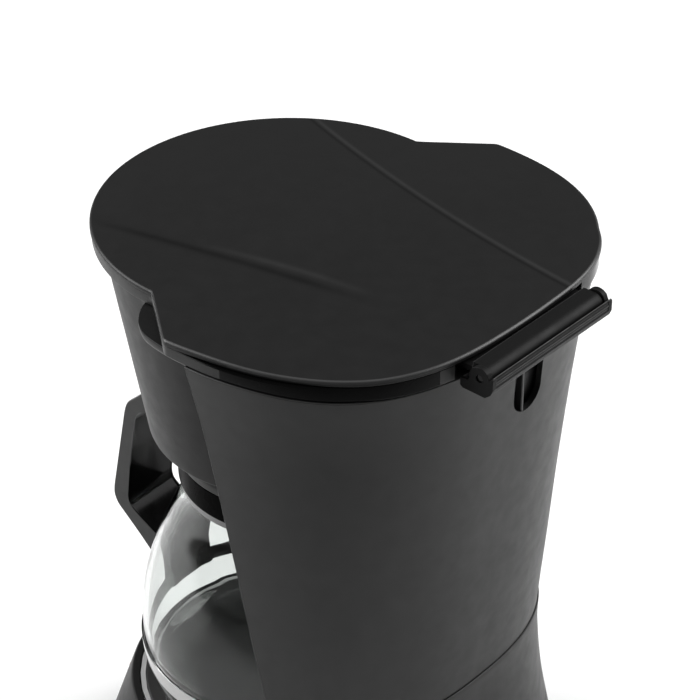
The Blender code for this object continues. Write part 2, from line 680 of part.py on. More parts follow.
# ---------------------------------------------------------------- brewing
def filter_basket(mats):
    top = 0.2560
    outside = [(0.0622, top), (0.0622, top - 0.0016), (0.0575, top - 0.0018), (0.0490, 0.1985),
               (0.0470, 0.1966), (0.0088, 0.1950), (0.0086, 0.1880)]
    inside = [(0.0070, 0.1880), (0.0070, 0.1942), (0.0042, 0.1942), (0.0042, 0.1964), (0.0465, 0.1986),
              (0.0475, 0.1995), (0.0558, top)]
    turned("filter_basket", outside + inside, steps=44, mat=mats["inner"])
    seal = [(0.0078, 0.1981), (0.0078, 0.1969), (0.0045, 0.1968), (0.0045, 0.1981)]
    turned("drip_valve_seal", seal, steps=28, mat=mats["silicone"])


def drip_valve(mats):
    """A plunger that the jug lid lifts; it closes the basket when the jug is away."""
    stem = [(0, 0.2026), (0.0062, 0.2020), (0.0066, 0.2008), (0.0024, 0.2006), (0.0022, 0.1872),
            (0.0058, 0.1866), (0.0058, 0.1852), (0.0030, 0.1836), (0, 0.1834)]
    turned("drip_valve_stem", stem, closed=False, steps=20, mat=mats["inner"], pivot_z=0.1834)
    turns, steps, radius = 3, 11, 0.0046
    low, high = 0.1876, 0.1933
    count = int(turns * steps)
    points = [(radius * cos(2 * pi * i / steps), FRONT_Y + radius * sin(2 * pi * i / steps),
               low + (high - low) * i / count) for i in range(count + 1)]
    tube("drip_valve_spring", points, 0.0004, mats["steel"], resolution=2)


# ---------------------------------------------------------------- heating
def heating(mats):
    plate = [(0, PLATE_Z), (0.0618, PLATE_Z), (0.0624, PLATE_Z - 0.0006), (0.0624, 0.0564),
             (0.0602, 0.0564), (0.0602, 0.0578), (0, 0.0578)]
    turned("hot_plate", plate, closed=False, steps=56, mat=mats["plate"])
    seal = [(0.0647, 0.0596), (0.0647, 0.0564), (0.0627, 0.0564), (0.0627, 0.0596)]
    turned("hot_plate_seal", seal, steps=40, mat=mats["silicone"])
    x, y, z = HEATER_END
    bend = 0.036
    ring = [(bend * cos(a), FRONT_Y + bend * sin(a), HEATER_Z)
            for a in levels(radians(38), radians(-218), 26)]
    right = [(x, y, z), (x, y - 0.0050, z + 0.0002), (0.0228, y - 0.0100, z + 0.0020),
             (0.0248, 0.0005, HEATER_Z - 0.0008)]
    path = right + ring + [(-px, py, pz) for px, py, pz in reversed(right)]
    tube("heating_element", path, 0.0041, mats["alloy"])
    disc = [(0, 0.0574), (0.0080, 0.0574), (0.0080, 0.0540), (0.0060, 0.0535), (0.0060, 0.0500), (0, 0.0500)]
    turned("thermostat", disc, closed=False, steps=24, mat=mats["ceramic"])
    rods("thermal_fuse", 0.0022, [((-0.006, FRONT_Y - 0.016, 0.0545), (0.006, FRONT_Y - 0.016, 0.0545))],
         mat=mats["ceramic"])
    clamp = [(-0.050, 0.0484), (-0.030, 0.0484), (-0.026, 0.0472), (0.026, 0.0472), (0.030, 0.0484),
             (0.050, 0.0484), (0.050, 0.0470), (0.030, 0.0470), (0.026, 0.0458), (-0.026, 0.0458),
             (-0.030, 0.0470), (-0.050, 0.0470)]
    prism("heater_clamp", list(reversed(clamp)), FRONT_Y - 0.006, FRONT_Y + 0.006, "Y", mat=mats["steel"])


# ---------------------------------------------------------------- base fittings
def front_frame():
    """Centre, upward direction and outward direction of the switch on the sloping front."""
    centre = Vector((0, FRONT_Y - base_radius(SWITCH_Z) - BASE_PROUD, SWITCH_Z))
    return centre, Vector((0, sin(SWITCH_LEAN), cos(SWITCH_LEAN))), \
        Vector((0, -cos(SWITCH_LEAN), sin(SWITCH_LEAN)))


def on_front(name, outline, low, high, **place):
    """A prism across the base, its outline given as (up the slope, out of the slope)."""
    centre, up, out = front_frame()
    points = [centre + up * a + out * b for a, b in outline]
    return prism(name, [(p.y, p.z) for p in points], low, high, "X", **place)


def switch_block(name, grow, **place):
    outline = [(-0.0085 - grow, -0.0140), (0.0085 + grow, -0.0140), (0.0085 + grow, 0.0012),
               (-0.0085 - grow, 0.0012)]
    return on_front(name, outline, -0.0125 - grow, 0.0125 + grow, **place)


def lamp_rod(name, radius, low, high, **place):
    centre, up, out = front_frame()
    side = Vector((0.0210, 0, 0))
    back = Vector((0, 0.0025, 0))
    return rods(name, radius, [(centre + side + back + out * low, centre + side + back + out * high)],
                20, **place)


def switch(mats):
    housing = switch_block("switch_housing", 0, mat=mats["gloss"])
    pocket = [(-0.0069, -0.0080), (0.0069, -0.0080), (0.0069, 0.0050), (-0.0069, 0.0050)]
    boolean(housing, on_front("switch_pocket", pocket, -0.0109, 0.0109, cutter=True))
    centre, _, out = front_frame()
    rocker = [(-0.0057, -0.0042), (0.0057, -0.0042), (0.0059, 0.0003), (0.0034, 0.0016),
              (0.0000, 0.0014), (-0.0030, 0.0021), (-0.0055, 0.0033), (-0.0059, 0.0028)]
    middle = centre - out * 0.0020
    on_front("switch_rocker", rocker, -0.0104, 0.0104, mat=mats["gloss"], pivot=middle)
    lamp_rod("power_lamp", 0.0030, -0.0060, 0.0012, mat=mats["lamp"])


def fittings(mats):
    foot_profile = [(0, 0.0040), (0.0072, 0.0040), (0.0076, 0.0034), (0.0068, 0.0), (0, 0.0)]
    for spot, name in zip(FOOT_SPOTS, CORNERS):
        turned("foot_" + name, foot_profile, closed=False, centre=spot, steps=24, mat=mats["rubber"])
    screw = [(0, 0.0026), (0.0022, 0.0026), (0.0032, 0.0034), (0.0032, 0.0040), (0.0016, 0.0040),
             (0.0014, 0.0180), (0, 0.0190)]
    for spot, name in zip(SCREW_SPOTS, CORNERS):
        turned("cover_screw_" + name, list(reversed(screw)), closed=False, centre=spot, steps=16,
               mat=mats["steel"])
    x, y, z = INLET
    bush = [(0.0082, 0.0062), (0.0082, 0.0044), (0.0059, 0.0044), (0.0059, -0.0076), (0.0066, -0.0082),
            (0.0066, -0.0094), (0.0052, -0.0100), (0.0036, -0.0100), (0.0036, 0.0062)]
    bushing = turned("cord_inlet_bushing", bush, steps=20, mat=mats["rubber"])
    bushing.location = (x, y, z)
    bushing.rotation_euler = (-pi / 2, 0, 0)
    block("terminal_block", (0.012, 0.046, 0.0100), (0.040, 0.062, 0.0220), mat=mats["ceramic"])


# ---------------------------------------------------------------- jug
def jug(mats):
    pivot = bpy.data.objects.new("jug_axis", None)
    PARTS.objects.link(pivot)
    pivot.parent = ROOT
    pivot.location = (0, FRONT_Y, PLATE_Z)
    low, high = GLASS_OUTSIDE[0][0], GLASS_OUTSIDE[-1][0]
    heights = [low] + [z for z, r in GLASS_OUTSIDE[1:4]] + levels(0.0785, high, 9)
    outside = [(smooth_value(GLASS_OUTSIDE, z), z) for z in reversed(heights)] + [(0, low)]
    floor = low + GLASS_WALL + 0.0005
    inside = [(0, floor), (0.0470, floor), (0.0535, 0.0655)]
    inside += [(smooth_value(GLASS_OUTSIDE, z) - GLASS_WALL, z) for z in levels(0.0720, high, 8)]
    jug_turned("jug_glass", inside + outside, pivot, mats["glass"], closed=False)
    collar = [(0.0446, 0.1758), (0.0448, 0.1655), (0.0437, 0.1612), (0.0431, 0.1612), (0.0431, 0.1640),
              (0.0426, 0.1655), (0.0426, 0.1758)]
    jug_turned("jug_collar", collar, pivot, mats["gloss"])
    lid = [(0.0446, 0.1806), (0.0450, 0.1796), (0.0450, 0.1765), (0.0398, 0.1765), (0.0392, 0.1690),
           (0.0376, 0.1690), (0.0370, 0.1765), (0.0045, 0.1765), (0.0045, 0.1785), (0.0160, 0.1792),
           (0.0385, 0.1800), (0.0405, 0.1812), (0.0435, 0.1812)]
    jug_turned("jug_lid", lid, pivot, mats["satin"])
    outer = [(-0.0722, 0.1750), (-0.0860, 0.1750), (-0.0985, 0.1728), (-0.1068, 0.1655), (-0.1083, 0.1616),
             (-0.1179, 0.1172), (-0.1183, 0.1127), (-0.1165, 0.1085), (-0.1037, 0.0982), (-0.0962, 0.0915),
             (-0.0942, 0.0880), (-0.0936, 0.0772), (-0.0850, 0.0772)]
    inner = [(-0.0850, 0.1000), (-0.0935, 0.1030), (-0.1050, 0.1085), (-0.1090, 0.1112), (-0.1097, 0.1150),
             (-0.1062, 0.1410), (-0.1024, 0.1600), (-0.1000, 0.1640), (-0.0940, 0.1670), (-0.0722, 0.1670)]
    handle = prism("jug_handle", outer + inner, -HANDLE_HALF, HANDLE_HALF, "X", mat=mats["gloss"])
    bevel(handle, 0.0012)
    boolean(handle, turned("neck_relief", [(0, 0.200), (0.0452, 0.200), (0.0452, 0.150), (0, 0.150)],
                           closed=False, cutter=True))
    belly = [(smooth_value(GLASS_OUTSIDE, z) + 0.0006, z) for z in levels(0.108, 0.074, 9)]
    boolean(handle, turned("belly_relief", [(0, 0.108)] + belly + [(0, 0.074)], closed=False, cutter=True))
    boolean(handle, turned("band_groove", band_profile(GAP), cutter=True))
    jug_turned("jug_band", band_profile(0), pivot, mats["steel"])
    low, high = (-0.0118, -0.100, 0.070), (0.0118, -0.060, 0.095)
    boolean(bpy.data.objects["jug_band"], block("band_ends", low, high, cutter=True))
    handle.data.transform(Matrix.Translation((0, -FRONT_Y, -PLATE_Z)))
    handle.parent = pivot


def band_profile(grow):
    """The strap stands off the glass a little; its ends sit in a groove in the handle."""
    heights = levels(BAND_TOP + grow, BAND_LOW - grow, 4)
    outside = [(smooth_value(GLASS_OUTSIDE, z) + 0.0009 + grow, z) for z in heights]
    return outside + [(r - 0.0006 - 2 * grow, z) for r, z in reversed(outside)]


def jug_turned(name, profile, pivot, mat, closed=True):
    """A turned piece that rides with the jug."""
    obj = turned(name, profile, closed=closed, centre=(0, 0), mat=mat)
    obj.data.transform(Matrix.Translation((0, 0, -PLATE_Z)))
    obj.parent = pivot
    obj.location = (0, 0, 0)


# ---------------------------------------------------------------- whole object
def build():
    start_scene()
    mats = make_materials()
    rear_shell(mats)
    water_gauge(mats)
    column_panel(mats)
    housing_backplate(mats)
    front_shell(mats)
    base_shell(mats)
    bottom_cover(mats)
    lid_parts(mats)
    hinge_bracket(mats)
    water_tank(mats)
    check_valve(mats)
    water_tubes(mats)
    spray_spout(mats)
    filter_basket(mats)
    drip_valve(mats)
    heating(mats)
    switch(mats)
    fittings(mats)
    jug(mats)


build()
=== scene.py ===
"""Looks of the drip coffee maker: fine surfaces, materials, light and camera on the CAD frame."""
import json
from math import acos, atan2, cos, degrees, hypot, pi, radians, sin, sqrt

import bmesh
import bpy
from mathutils import Matrix, Vector


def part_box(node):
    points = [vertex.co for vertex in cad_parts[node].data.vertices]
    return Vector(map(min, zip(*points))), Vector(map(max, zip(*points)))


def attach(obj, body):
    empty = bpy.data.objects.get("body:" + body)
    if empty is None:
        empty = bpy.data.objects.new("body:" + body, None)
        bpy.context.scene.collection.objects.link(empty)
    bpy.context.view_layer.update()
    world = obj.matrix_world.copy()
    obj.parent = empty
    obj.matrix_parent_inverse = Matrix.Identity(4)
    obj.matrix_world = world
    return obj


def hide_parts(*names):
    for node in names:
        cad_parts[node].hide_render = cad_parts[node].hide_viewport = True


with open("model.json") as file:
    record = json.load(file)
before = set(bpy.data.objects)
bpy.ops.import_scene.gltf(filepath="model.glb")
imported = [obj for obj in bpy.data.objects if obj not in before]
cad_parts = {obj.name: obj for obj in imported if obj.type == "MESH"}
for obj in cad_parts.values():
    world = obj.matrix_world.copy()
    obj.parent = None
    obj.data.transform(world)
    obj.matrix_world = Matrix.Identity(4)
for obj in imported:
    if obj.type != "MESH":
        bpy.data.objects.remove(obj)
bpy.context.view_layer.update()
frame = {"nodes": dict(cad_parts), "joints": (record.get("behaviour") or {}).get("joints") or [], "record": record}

# ---- sizes, most of them read from the frame
LID_LOW, LID_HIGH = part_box("lid_panel")
PLATE_LOW, PLATE_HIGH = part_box("hot_plate")
SHELL_LOW, SHELL_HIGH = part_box("rear_shell")
BASE_LOW, BASE_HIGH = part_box("base_shell")
HOUSING_LOW, HOUSING_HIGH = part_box("front_shell")
BAND_LOW, BAND_HIGH = (corner.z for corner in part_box("jug_band"))
HINGE = next(Vector(j["pos_m"]) for j in frame["joints"] if j["name"] == "lid_hinge")
ROCKER = next(Vector(j["pos_m"]) for j in frame["joints"] if j["name"] == "switch_rock")

HALF_WIDTH = LID_HIGH.x
TOP = LID_HIGH.z
BACK_DEPTH = HALF_WIDTH * 0.925
BODY_Y = LID_HIGH.y - BACK_DEPTH    # plan sizes below are measured from the body axis
FRONT_Y = (PLATE_LOW.y + PLATE_HIGH.y) / 2 - BODY_Y
ROUNDNESS = 2.5                     # exponent of the superellipse at the back
REAR_POINTS = 121
COLUMN_FRONT, COLUMN_LEAN = 0.0087, 0.115
NOTCH_SLOPE = (-0.0217, -0.0280)
BODY_TOP = HOUSING_HIGH.z
SEAM_Z = BASE_HIGH.z
DECK_Z = PLATE_HIGH.z - 0.0002
HOUSING_Z = HOUSING_LOW.z
BASE_Z = BASE_LOW.z
WALL = 0.0024
HOUSING_TOP_R, HOUSING_LOW_R = 0.0687, 0.0552
BASE_TOP_R, BASE_LOW_R, BASE_STEP_Z = 0.0682, 0.0869, 0.059
BASE_PROUD = 0.0006
LID_FRONT_R, LID_FILLET = 0.0729, 0.0016
RECESS_R = 0.0658
SINK_DEPTH, SINK_START, SINK_RUN = 0.0021, 0.030, 0.045
# angle in the plan from the widest point to the back, change of the lid's radius there
LID_PLAN = ((0, 0.0), (4, -0.0006), (10, -0.0016), (17, -0.0021), (25, -0.0021), (33, -0.0017),
            (41, -0.0007), (49, 0.0005), (56, 0.0009), (63, 0.0009), (80, 0.0), (90, 0.0))
# height, share of the full width
BODY_SECTIONS = ((0.004, 0.992), (0.0428, 0.920), (0.0704, 0.866), (0.098, 0.836),
                 (0.112, 0.8365), (0.150, 0.865), (0.190, 0.895), (0.245, 0.950), (0.2752, 1.0))
# height, radius
GLASS_OUTSIDE = ((0.0605, 0.0510), (0.0622, 0.0555), (0.0655, 0.0582), (0.0704, 0.0601),
                 (0.0785, 0.0616), (0.0865, 0.0622), (0.098, 0.0620), (0.112, 0.0600),
                 (0.126, 0.0560), (0.140, 0.0502), (0.152, 0.0446), (0.160, 0.0428), (0.176, 0.0422))


# ---- curves and sections
def levels(low, high, count):
    """Evenly spaced values, both ends included."""
    return [low + (high - low) * i / (count - 1) for i in range(count)]


def smooth_value(table, at):
    """Read a table of (place, value) pairs along a smooth curve through them."""
    if at <= table[0][0]:
        return table[0][1]
    for i in range(len(table) - 1):
        (x0, y0), (x1, y1) = table[i], table[i + 1]
        if at <= x1:
            before, after = table[max(i - 1, 0)], table[min(i + 2, len(table) - 1)]
            slope0 = (y1 - before[1]) / (x1 - before[0])
            slope1 = (after[1] - y0) / (after[0] - x0)
            t, run = (at - x0) / (x1 - x0), x1 - x0
            return (y0 * (2 * t**3 - 3 * t**2 + 1) + slope0 * run * (t**3 - 2 * t**2 + t)
                    + y1 * (3 * t**2 - 2 * t**3) + slope1 * run * (t**3 - t**2))
    return table[-1][1]


def bent(start, corner, end, count):
    """Points of a curve that leaves start towards the corner and reaches end from it."""
    return [start * (1 - t) ** 2 + corner * 2 * t * (1 - t) + end * t**2
            for t in levels(0, 1, count)]


def rounded_edge(radius, steps):
    """(rise, inset) pairs of a quarter round, from flat to upright."""
    return [(radius * (1 - cos(a)), radius * (1 - sin(a))) for a in levels(0, pi / 2, steps + 1)]


def eased(value, start, run):
    """Smooth step: 0 up to the start, 1 from start + run on."""
    t = min(max((value - start) / run, 0.0), 1.0)
    return t * t * (3 - 2 * t)


def body_scale(z):
    return smooth_value(BODY_SECTIONS, z)


def housing_radius(z):
    return HOUSING_LOW_R + (HOUSING_TOP_R - HOUSING_LOW_R) * (z - HOUSING_Z) / (BODY_TOP - HOUSING_Z)


def base_radius(z):
    return BASE_LOW_R + (BASE_TOP_R - BASE_LOW_R) * (z - BASE_Z) / (BASE_STEP_Z - BASE_Z)


def column_front(z):
    """The front edges of the column lean back towards the waist."""
    return COLUMN_FRONT + COLUMN_LEAN * (TOP - z)


def rear_size(z, inset=0.0):
    """Half the width and the depth behind the body axis of the rear outline at a height."""
    scale = body_scale(z)
    return HALF_WIDTH * scale - inset, BACK_DEPTH * scale - inset


def back_y(z, x):
    width, depth = rear_size(z)
    return depth * (1 - min(abs(x) / width, 1) ** ROUNDNESS) ** (1 / ROUNDNESS)


def side_x(z, y, inset):
    width, depth = rear_size(z, inset)
    return width * (1 - min(abs(y) / depth, 1) ** ROUNDNESS) ** (1 / ROUNDNESS)


def rear_arc(z, inset, front):
    """The rear outline from the right front edge round the back to the left one."""
    width, depth = rear_size(z, inset)
    start = (front / depth) ** (ROUNDNESS / 2)
    first = atan2(start, sqrt(1 - start**2))
    points = []
    for angle in levels(first, pi - first, REAR_POINTS):
        c, s = cos(angle), sin(angle)
        points.append((width * abs(c) ** (2 / ROUNDNESS) * (1 if c > 0 else -1),
                       depth * abs(s) ** (2 / ROUNDNESS)))
    return points


def rounded(points, corner, reach):
    """Replace a corner of a polyline by a bend; the number of points doesn't depend on the reach."""
    spot = Vector(points[corner])

    def walk(step):
        """The point at the reach from the corner, and how many points of the line lie before it."""
        here, left, passed, i = spot, reach, 0, corner
        while 0 <= i + step < len(points):
            there = Vector(points[i + step])
            length = (there - here).length
            if length > left:
                return here + (there - here) * (left / length), passed
            here, left, passed, i = there, left - length, passed + 1, i + step
        return here, passed

    (start, before), (end, after) = walk(-1), walk(1)
    bend = [tuple(p) for p in bent(start, spot, end, 9)]
    first = resampled(points[:corner - before] + [bend[0]], corner)
    last = resampled([bend[-1]] + points[corner + after + 1:], len(points) - corner - 1)
    return first[:-1] + bend + last[1:]


def resampled(points, count):
    """The same line with a set number of points, evenly spaced by index."""
    out = []
    for at in levels(0, len(points) - 1, count):
        i = min(int(at), len(points) - 2)
        t = at - i
        (x0, y0), (x1, y1) = points[i], points[i + 1]
        out.append((x0 + (x1 - x0) * t, y0 + (y1 - y0) * t))
    return out


def mirrored(near, far=None):
    """Complete an outline from its half with x >= 0, which starts and ends on the middle plane."""
    return near + [(-x, y) for x, y in (far or near)[-2:0:-1]]


def front_arc(radius, start, end, count=60):
    """Part of a circle about the axis of the round front, in plan."""
    return [(radius * cos(a), FRONT_Y + radius * sin(a)) for a in levels(start, end, count)]


def side_line(x, y, width):
    """Straight from the end of the front arc to the widest point, beside the body axis."""
    return [(x + (width - x) * t, y * (1 - t)) for t in levels(0, 1, 9)[1:]]


def rear_quarter(width, depth):
    """The superellipse from the widest point, which is left out, to the middle of the back."""
    return [(width * cos(a) ** (2 / ROUNDNESS), depth * sin(a) ** (2 / ROUNDNESS))
            for a in levels(0, pi / 2, 70)[1:-1]] + [(0.0, depth)]


def lid_outline(inset=0.0, shrink=1):
    """Round front, slanting edges to the widest points, superellipse back; the far side is fuller."""
    return mirrored(lid_half(inset, shrink, 1), lid_half(inset, 0, 1.7))


def lid_half(inset, shrink, swell):
    """The half with x >= 0; shrink and swell scale the negative and positive changes of LID_PLAN."""
    width, depth, radius = HALF_WIDTH - inset, BACK_DEPTH - inset, LID_FRONT_R - inset
    low, high = 0.0, 1.5
    for _ in range(40):
        run = (low + high) / 2
        far = hypot(width + NOTCH_SLOPE[0] * run, NOTCH_SLOPE[1] * run - FRONT_Y)
        low, high = (run, high) if far > radius else (low, run)
    x, y = width + NOTCH_SLOPE[0] * low, NOTCH_SLOPE[1] * low
    half = front_arc(radius, -pi / 2, atan2(y - FRONT_Y, x))
    concave = len(half) - 1
    half += side_line(x, y, width)
    convex = len(half) - 1
    for x, y in rear_quarter(width, depth):
        change = smooth_value(LID_PLAN, degrees(atan2(y, x)))
        grow = 1 + change * (shrink if change < 0 else swell) / hypot(x, y)
        half.append((x * grow, y * grow))
    half = rounded(half, convex, LID_FILLET)
    return rounded(half, concave, LID_FILLET * 0.8)


def base_outline(z, inset=0.0):
    """Round front joined to the rear outline by straight sides."""
    grow = BASE_PROUD - inset
    width, depth = rear_size(z, -grow)
    radius = base_radius(z) + grow
    end = atan2(-FRONT_Y, width) - acos(radius / hypot(width, FRONT_Y))
    half = front_arc(radius, -pi / 2, end)
    half += side_line(*half[-1], width)
    corner = len(half) - 1
    half += rear_quarter(width, depth)
    return mirrored(rounded(half, corner, 0.0100))


def at_height(outline, z):
    return [(x, y, z) for x, y in outline]


def directions(ring):
    """Unit vectors in plan from the axis of the round front to the points of a ring."""
    found = []
    for x, y, _ in ring:
        reach = hypot(x, y - FRONT_Y)
        found.append((x / reach, (y - FRONT_Y) / reach))
    return found


def round_ring(circle, radius, z):
    return [(c * radius, FRONT_Y + s * radius, z) for c, s in circle]


# ---- mesh building
def linked(name, data):
    obj = bpy.data.objects.new(name, data)
    bpy.context.scene.collection.objects.link(obj)
    return obj


def finish_mesh(name, bm, angle=30):
    mesh = bpy.data.meshes.new(name)
    bmesh.ops.recalc_face_normals(bm, faces=bm.faces)
    bm.to_mesh(mesh)
    bm.free()
    mesh.transform(Matrix.Translation((0, BODY_Y, 0)))
    mesh.shade_smooth()
    mesh.set_sharp_from_angle(angle=radians(angle))
    return linked(name, mesh)


def loft(name, rings, wrap=True, closed=False, angle=30):
    """Skin rows of points. wrap joins each row's ends; closed joins the last row to the first."""
    bm = bmesh.new()
    loops = [[bm.verts.new(p) for p in ring] for ring in rings]
    count = len(loops[0])
    pairs = list(zip(loops[:-1], loops[1:]))
    if closed:
        pairs.append((loops[-1], loops[0]))
    for low, high in pairs:
        for i in range(count if wrap else count - 1):
            k = (i + 1) % count
            bm.faces.new((low[i], low[k], high[k], high[i]))
    if wrap and not closed:
        bm.faces.new(list(reversed(loops[0])))
        bm.faces.new(loops[-1])
    if closed and not wrap:
        bm.faces.new([loop[0] for loop in loops])
        bm.faces.new([loop[-1] for loop in reversed(loops)])
    return finish_mesh(name, bm, angle)


def turned(name, profile, steps=128, closed=True, angle=30):
    """Turn (radius, height) points about the front's axis; an open profile starts and ends on it."""
    bm = bmesh.new()
    turns = [2 * pi * i / steps for i in range(steps)]
    rings = []
    for r, z in profile:
        if r < 1e-7:
            rings.append([bm.verts.new((0.0, FRONT_Y, z))])
        else:
            rings.append([bm.verts.new((r * cos(a), FRONT_Y + r * sin(a), z)) for a in turns])
    pairs = list(zip(rings[:-1], rings[1:]))
    if closed:
        pairs.append((rings[-1], rings[0]))
    for a, b in pairs:
        for i in range(steps):
            k = (i + 1) % steps
            if len(a) == 1 and len(b) == 1:
                break
            if len(a) == 1:
                bm.faces.new((a[0], b[k], b[i]))
            elif len(b) == 1:
                bm.faces.new((a[i], a[k], b[0]))
            else:
                bm.faces.new((a[i], a[k], b[k], b[i]))
    return finish_mesh(name, bm, angle)


def arc(cx, cy, radius, start, end, count):
    """Points of a circular arc, its angles in degrees."""
    turns = levels(start, end, count)
    return [(cx + radius * cos(radians(a)), cy + radius * sin(radians(a))) for a in turns]


def soften(profile, reach, keep=()):
    """Round every corner of a closed (a, b) profile by up to the given reach."""
    out = []
    for i, spot in enumerate(profile):
        if i in keep:
            out.append(spot)
            continue
        here = Vector(spot)
        back, ahead = Vector(profile[i - 1]) - here, Vector(profile[(i + 1) % len(profile)]) - here
        size = min(reach, back.length * 0.45, ahead.length * 0.45)
        start, end = here + back.normalized() * size, here + ahead.normalized() * size
        out += [tuple(p) for p in bent(start, here, end, 5)]
    return out


def across(name, profile, low, high, edge, angle=30):
    """A prism along X from a (y, z) profile, with small rounded ends."""
    mid_y, mid_z = (sum(values) / len(profile) for values in zip(*profile))
    size = max(hypot(y - mid_y, z - mid_z) for y, z in profile)
    rings = []
    for x, inset in ((low, edge), (low + edge * 0.35, edge * 0.3), (low + edge, 0),
                     (high - edge, 0), (high - edge * 0.35, edge * 0.3), (high, edge)):
        k = 1 - inset / size
        rings.append([(x, mid_y + (y - mid_y) * k, mid_z + (z - mid_z) * k) for y, z in profile])
    return loft(name, rings, angle=angle)


def box_mesh(name, low, high):
    bm = bmesh.new()
    bmesh.ops.create_cube(bm, size=1.0)
    bmesh.ops.scale(bm, vec=[b - a for a, b in zip(low, high)], verts=bm.verts)
    bmesh.ops.translate(bm, vec=[(a + b) / 2 for a, b in zip(low, high)], verts=bm.verts)
    return finish_mesh(name, bm)


def rod(name, start, end, radius):
    bm = bmesh.new()
    start, end = Vector(start), Vector(end)
    turn = Vector((0, 0, 1)).rotation_difference(end - start).to_matrix().to_4x4()
    place = Matrix.Translation((start + end) / 2) @ turn
    bmesh.ops.create_cone(bm, cap_ends=True, segments=48, radius1=radius, radius2=radius,
                          depth=(end - start).length, matrix=place)
    return finish_mesh(name, bm)


def cut(obj, *cutters, operation="DIFFERENCE"):
    """Apply a boolean with each cutter in turn; the normals then follow the large faces."""
    for cutter in cutters:
        mod = obj.modifiers.new("cut", "BOOLEAN")
        mod.object, mod.operation, mod.solver = cutter, operation, "EXACT"
    bpy.context.view_layer.update()
    mesh = bpy.data.meshes.new_from_object(obj.evaluated_get(bpy.context.evaluated_depsgraph_get()))
    obj.modifiers.clear()
    obj.data = mesh
    mesh.shade_smooth()
    mesh.set_sharp_from_angle(angle=radians(30))
    for cutter in cutters:
        bpy.data.objects.remove(cutter)
    mod = obj.modifiers.new("even_normals", "WEIGHTED_NORMAL")
    mod.keep_sharp = True


def settle(obj, body, slot, *nodes, mat=None):
    """Give a piece its body and the slot's material or mat, and hide the CAD nodes it stands for."""
    obj.data.materials.clear()
    obj.data.materials.append(mat or MATERIALS[slot])
    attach(obj, body)
    if nodes:
        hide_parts(*nodes)


def second_finish(obj, mat, chosen):
    """Give the chosen faces of a settled piece another material."""
    obj.data.materials.append(mat)
    for face in obj.data.polygons:
        if chosen(face):
            face.material_index = len(obj.data.materials) - 1


# ---- materials
def grey(value):
    return (value, value, value)


def shader_nodes(name):
    """A new material with its node tree, its shader and the place of a point in the frame."""
    mat = bpy.data.materials.new(name)
    mat.use_nodes = True
    tree = mat.node_tree
    shader = tree.nodes["Principled BSDF"]
    place = tree.nodes.new("ShaderNodeTexCoord")
    return mat, tree, shader, place.outputs["Object"]


def noise(tree, where, scale, detail=3.0, roughness=0.5):
    node = tree.nodes.new("ShaderNodeTexNoise")
    node.inputs["Scale"].default_value = scale
    node.inputs["Detail"].default_value = detail
    node.inputs["Roughness"].default_value = roughness
    tree.links.new(where, node.inputs["Vector"])
    return node.outputs["Fac"]


def tones(tree, source, dark, light, start=0.3, end=0.7):
    """Colour that runs from dark to light while the source runs from start to end."""
    node = tree.nodes.new("ShaderNodeValToRGB")
    for element, position, colour in zip(node.color_ramp.elements, (start, end), (dark, light)):
        element.position = position
        element.color = (*colour, 1)
    tree.links.new(source, node.inputs["Fac"])
    return node.outputs["Color"]


def fitted(tree, source, low, high, start=0.3, end=0.7):
    """Value that runs from low to high while the source runs from start to end."""
    node = tree.nodes.new("ShaderNodeMapRange")
    for key, value in (("From Min", start), ("From Max", end), ("To Min", low), ("To Max", high)):
        node.inputs[key].default_value = value
    tree.links.new(source, node.inputs["Value"])
    return node.outputs["Result"]


def bump(tree, shader, height, distance, before=None):
    node = tree.nodes.new("ShaderNodeBump")
    node.inputs["Distance"].default_value = distance
    tree.links.new(height, node.inputs["Height"])
    if before is not None:
        tree.links.new(before, node.inputs["Normal"])
    tree.links.new(node.outputs["Normal"], shader.inputs["Normal"])
    return node.outputs["Normal"]


def moulded(name, dark, light, rough, grain=2600.0, depth=0.00001, ior=1.5):
    """Moulded plastic: slightly uneven tone and gloss, with a fine eroded grain."""
    mat, tree, shader, where = shader_nodes(name)
    broad = noise(tree, where, 22.0, 4.0)
    tree.links.new(tones(tree, broad, dark, light), shader.inputs["Base Color"])
    mixed = noise(tree, where, 160.0, 5.0)
    tree.links.new(fitted(tree, mixed, *rough), shader.inputs["Roughness"])
    shader.inputs["IOR"].default_value = ior
    bump(tree, shader, noise(tree, where, grain, 2.0, 0.6), depth)
    return mat


def maths(tree, operation, a, b=None):
    node = tree.nodes.new("ShaderNodeMath")
    node.operation = operation
    for socket, value in zip(node.inputs, (a, b)):
        if isinstance(value, (int, float)):
            socket.default_value = value
        elif value is not None:
            tree.links.new(value, socket)
    return node.outputs[0]


def weighted(tree, a, share_a, b, share_b):
    """The sum of two values, each times its share."""
    return maths(tree, "ADD", maths(tree, "MULTIPLY", a, share_a), maths(tree, "MULTIPLY", b, share_b))


def bell(tree, value, middle, width):
    """1 where the value meets the middle, falling off to both sides over the width."""
    off = maths(tree, "DIVIDE", maths(tree, "SUBTRACT", value, middle), width)
    return maths(tree, "EXPONENT", maths(tree, "MULTIPLY", maths(tree, "MULTIPLY", off, off), -1.0))


def split(tree, where):
    """The X, Y and Z of a place as three values."""
    parts = tree.nodes.new("ShaderNodeSeparateXYZ")
    tree.links.new(where, parts.inputs[0])
    return tuple(parts.outputs)


def body_place(tree, where):
    """X, Y from the body axis, and Z, as three values."""
    x, y, z = split(tree, where)
    return x, maths(tree, "SUBTRACT", y, BODY_Y), z


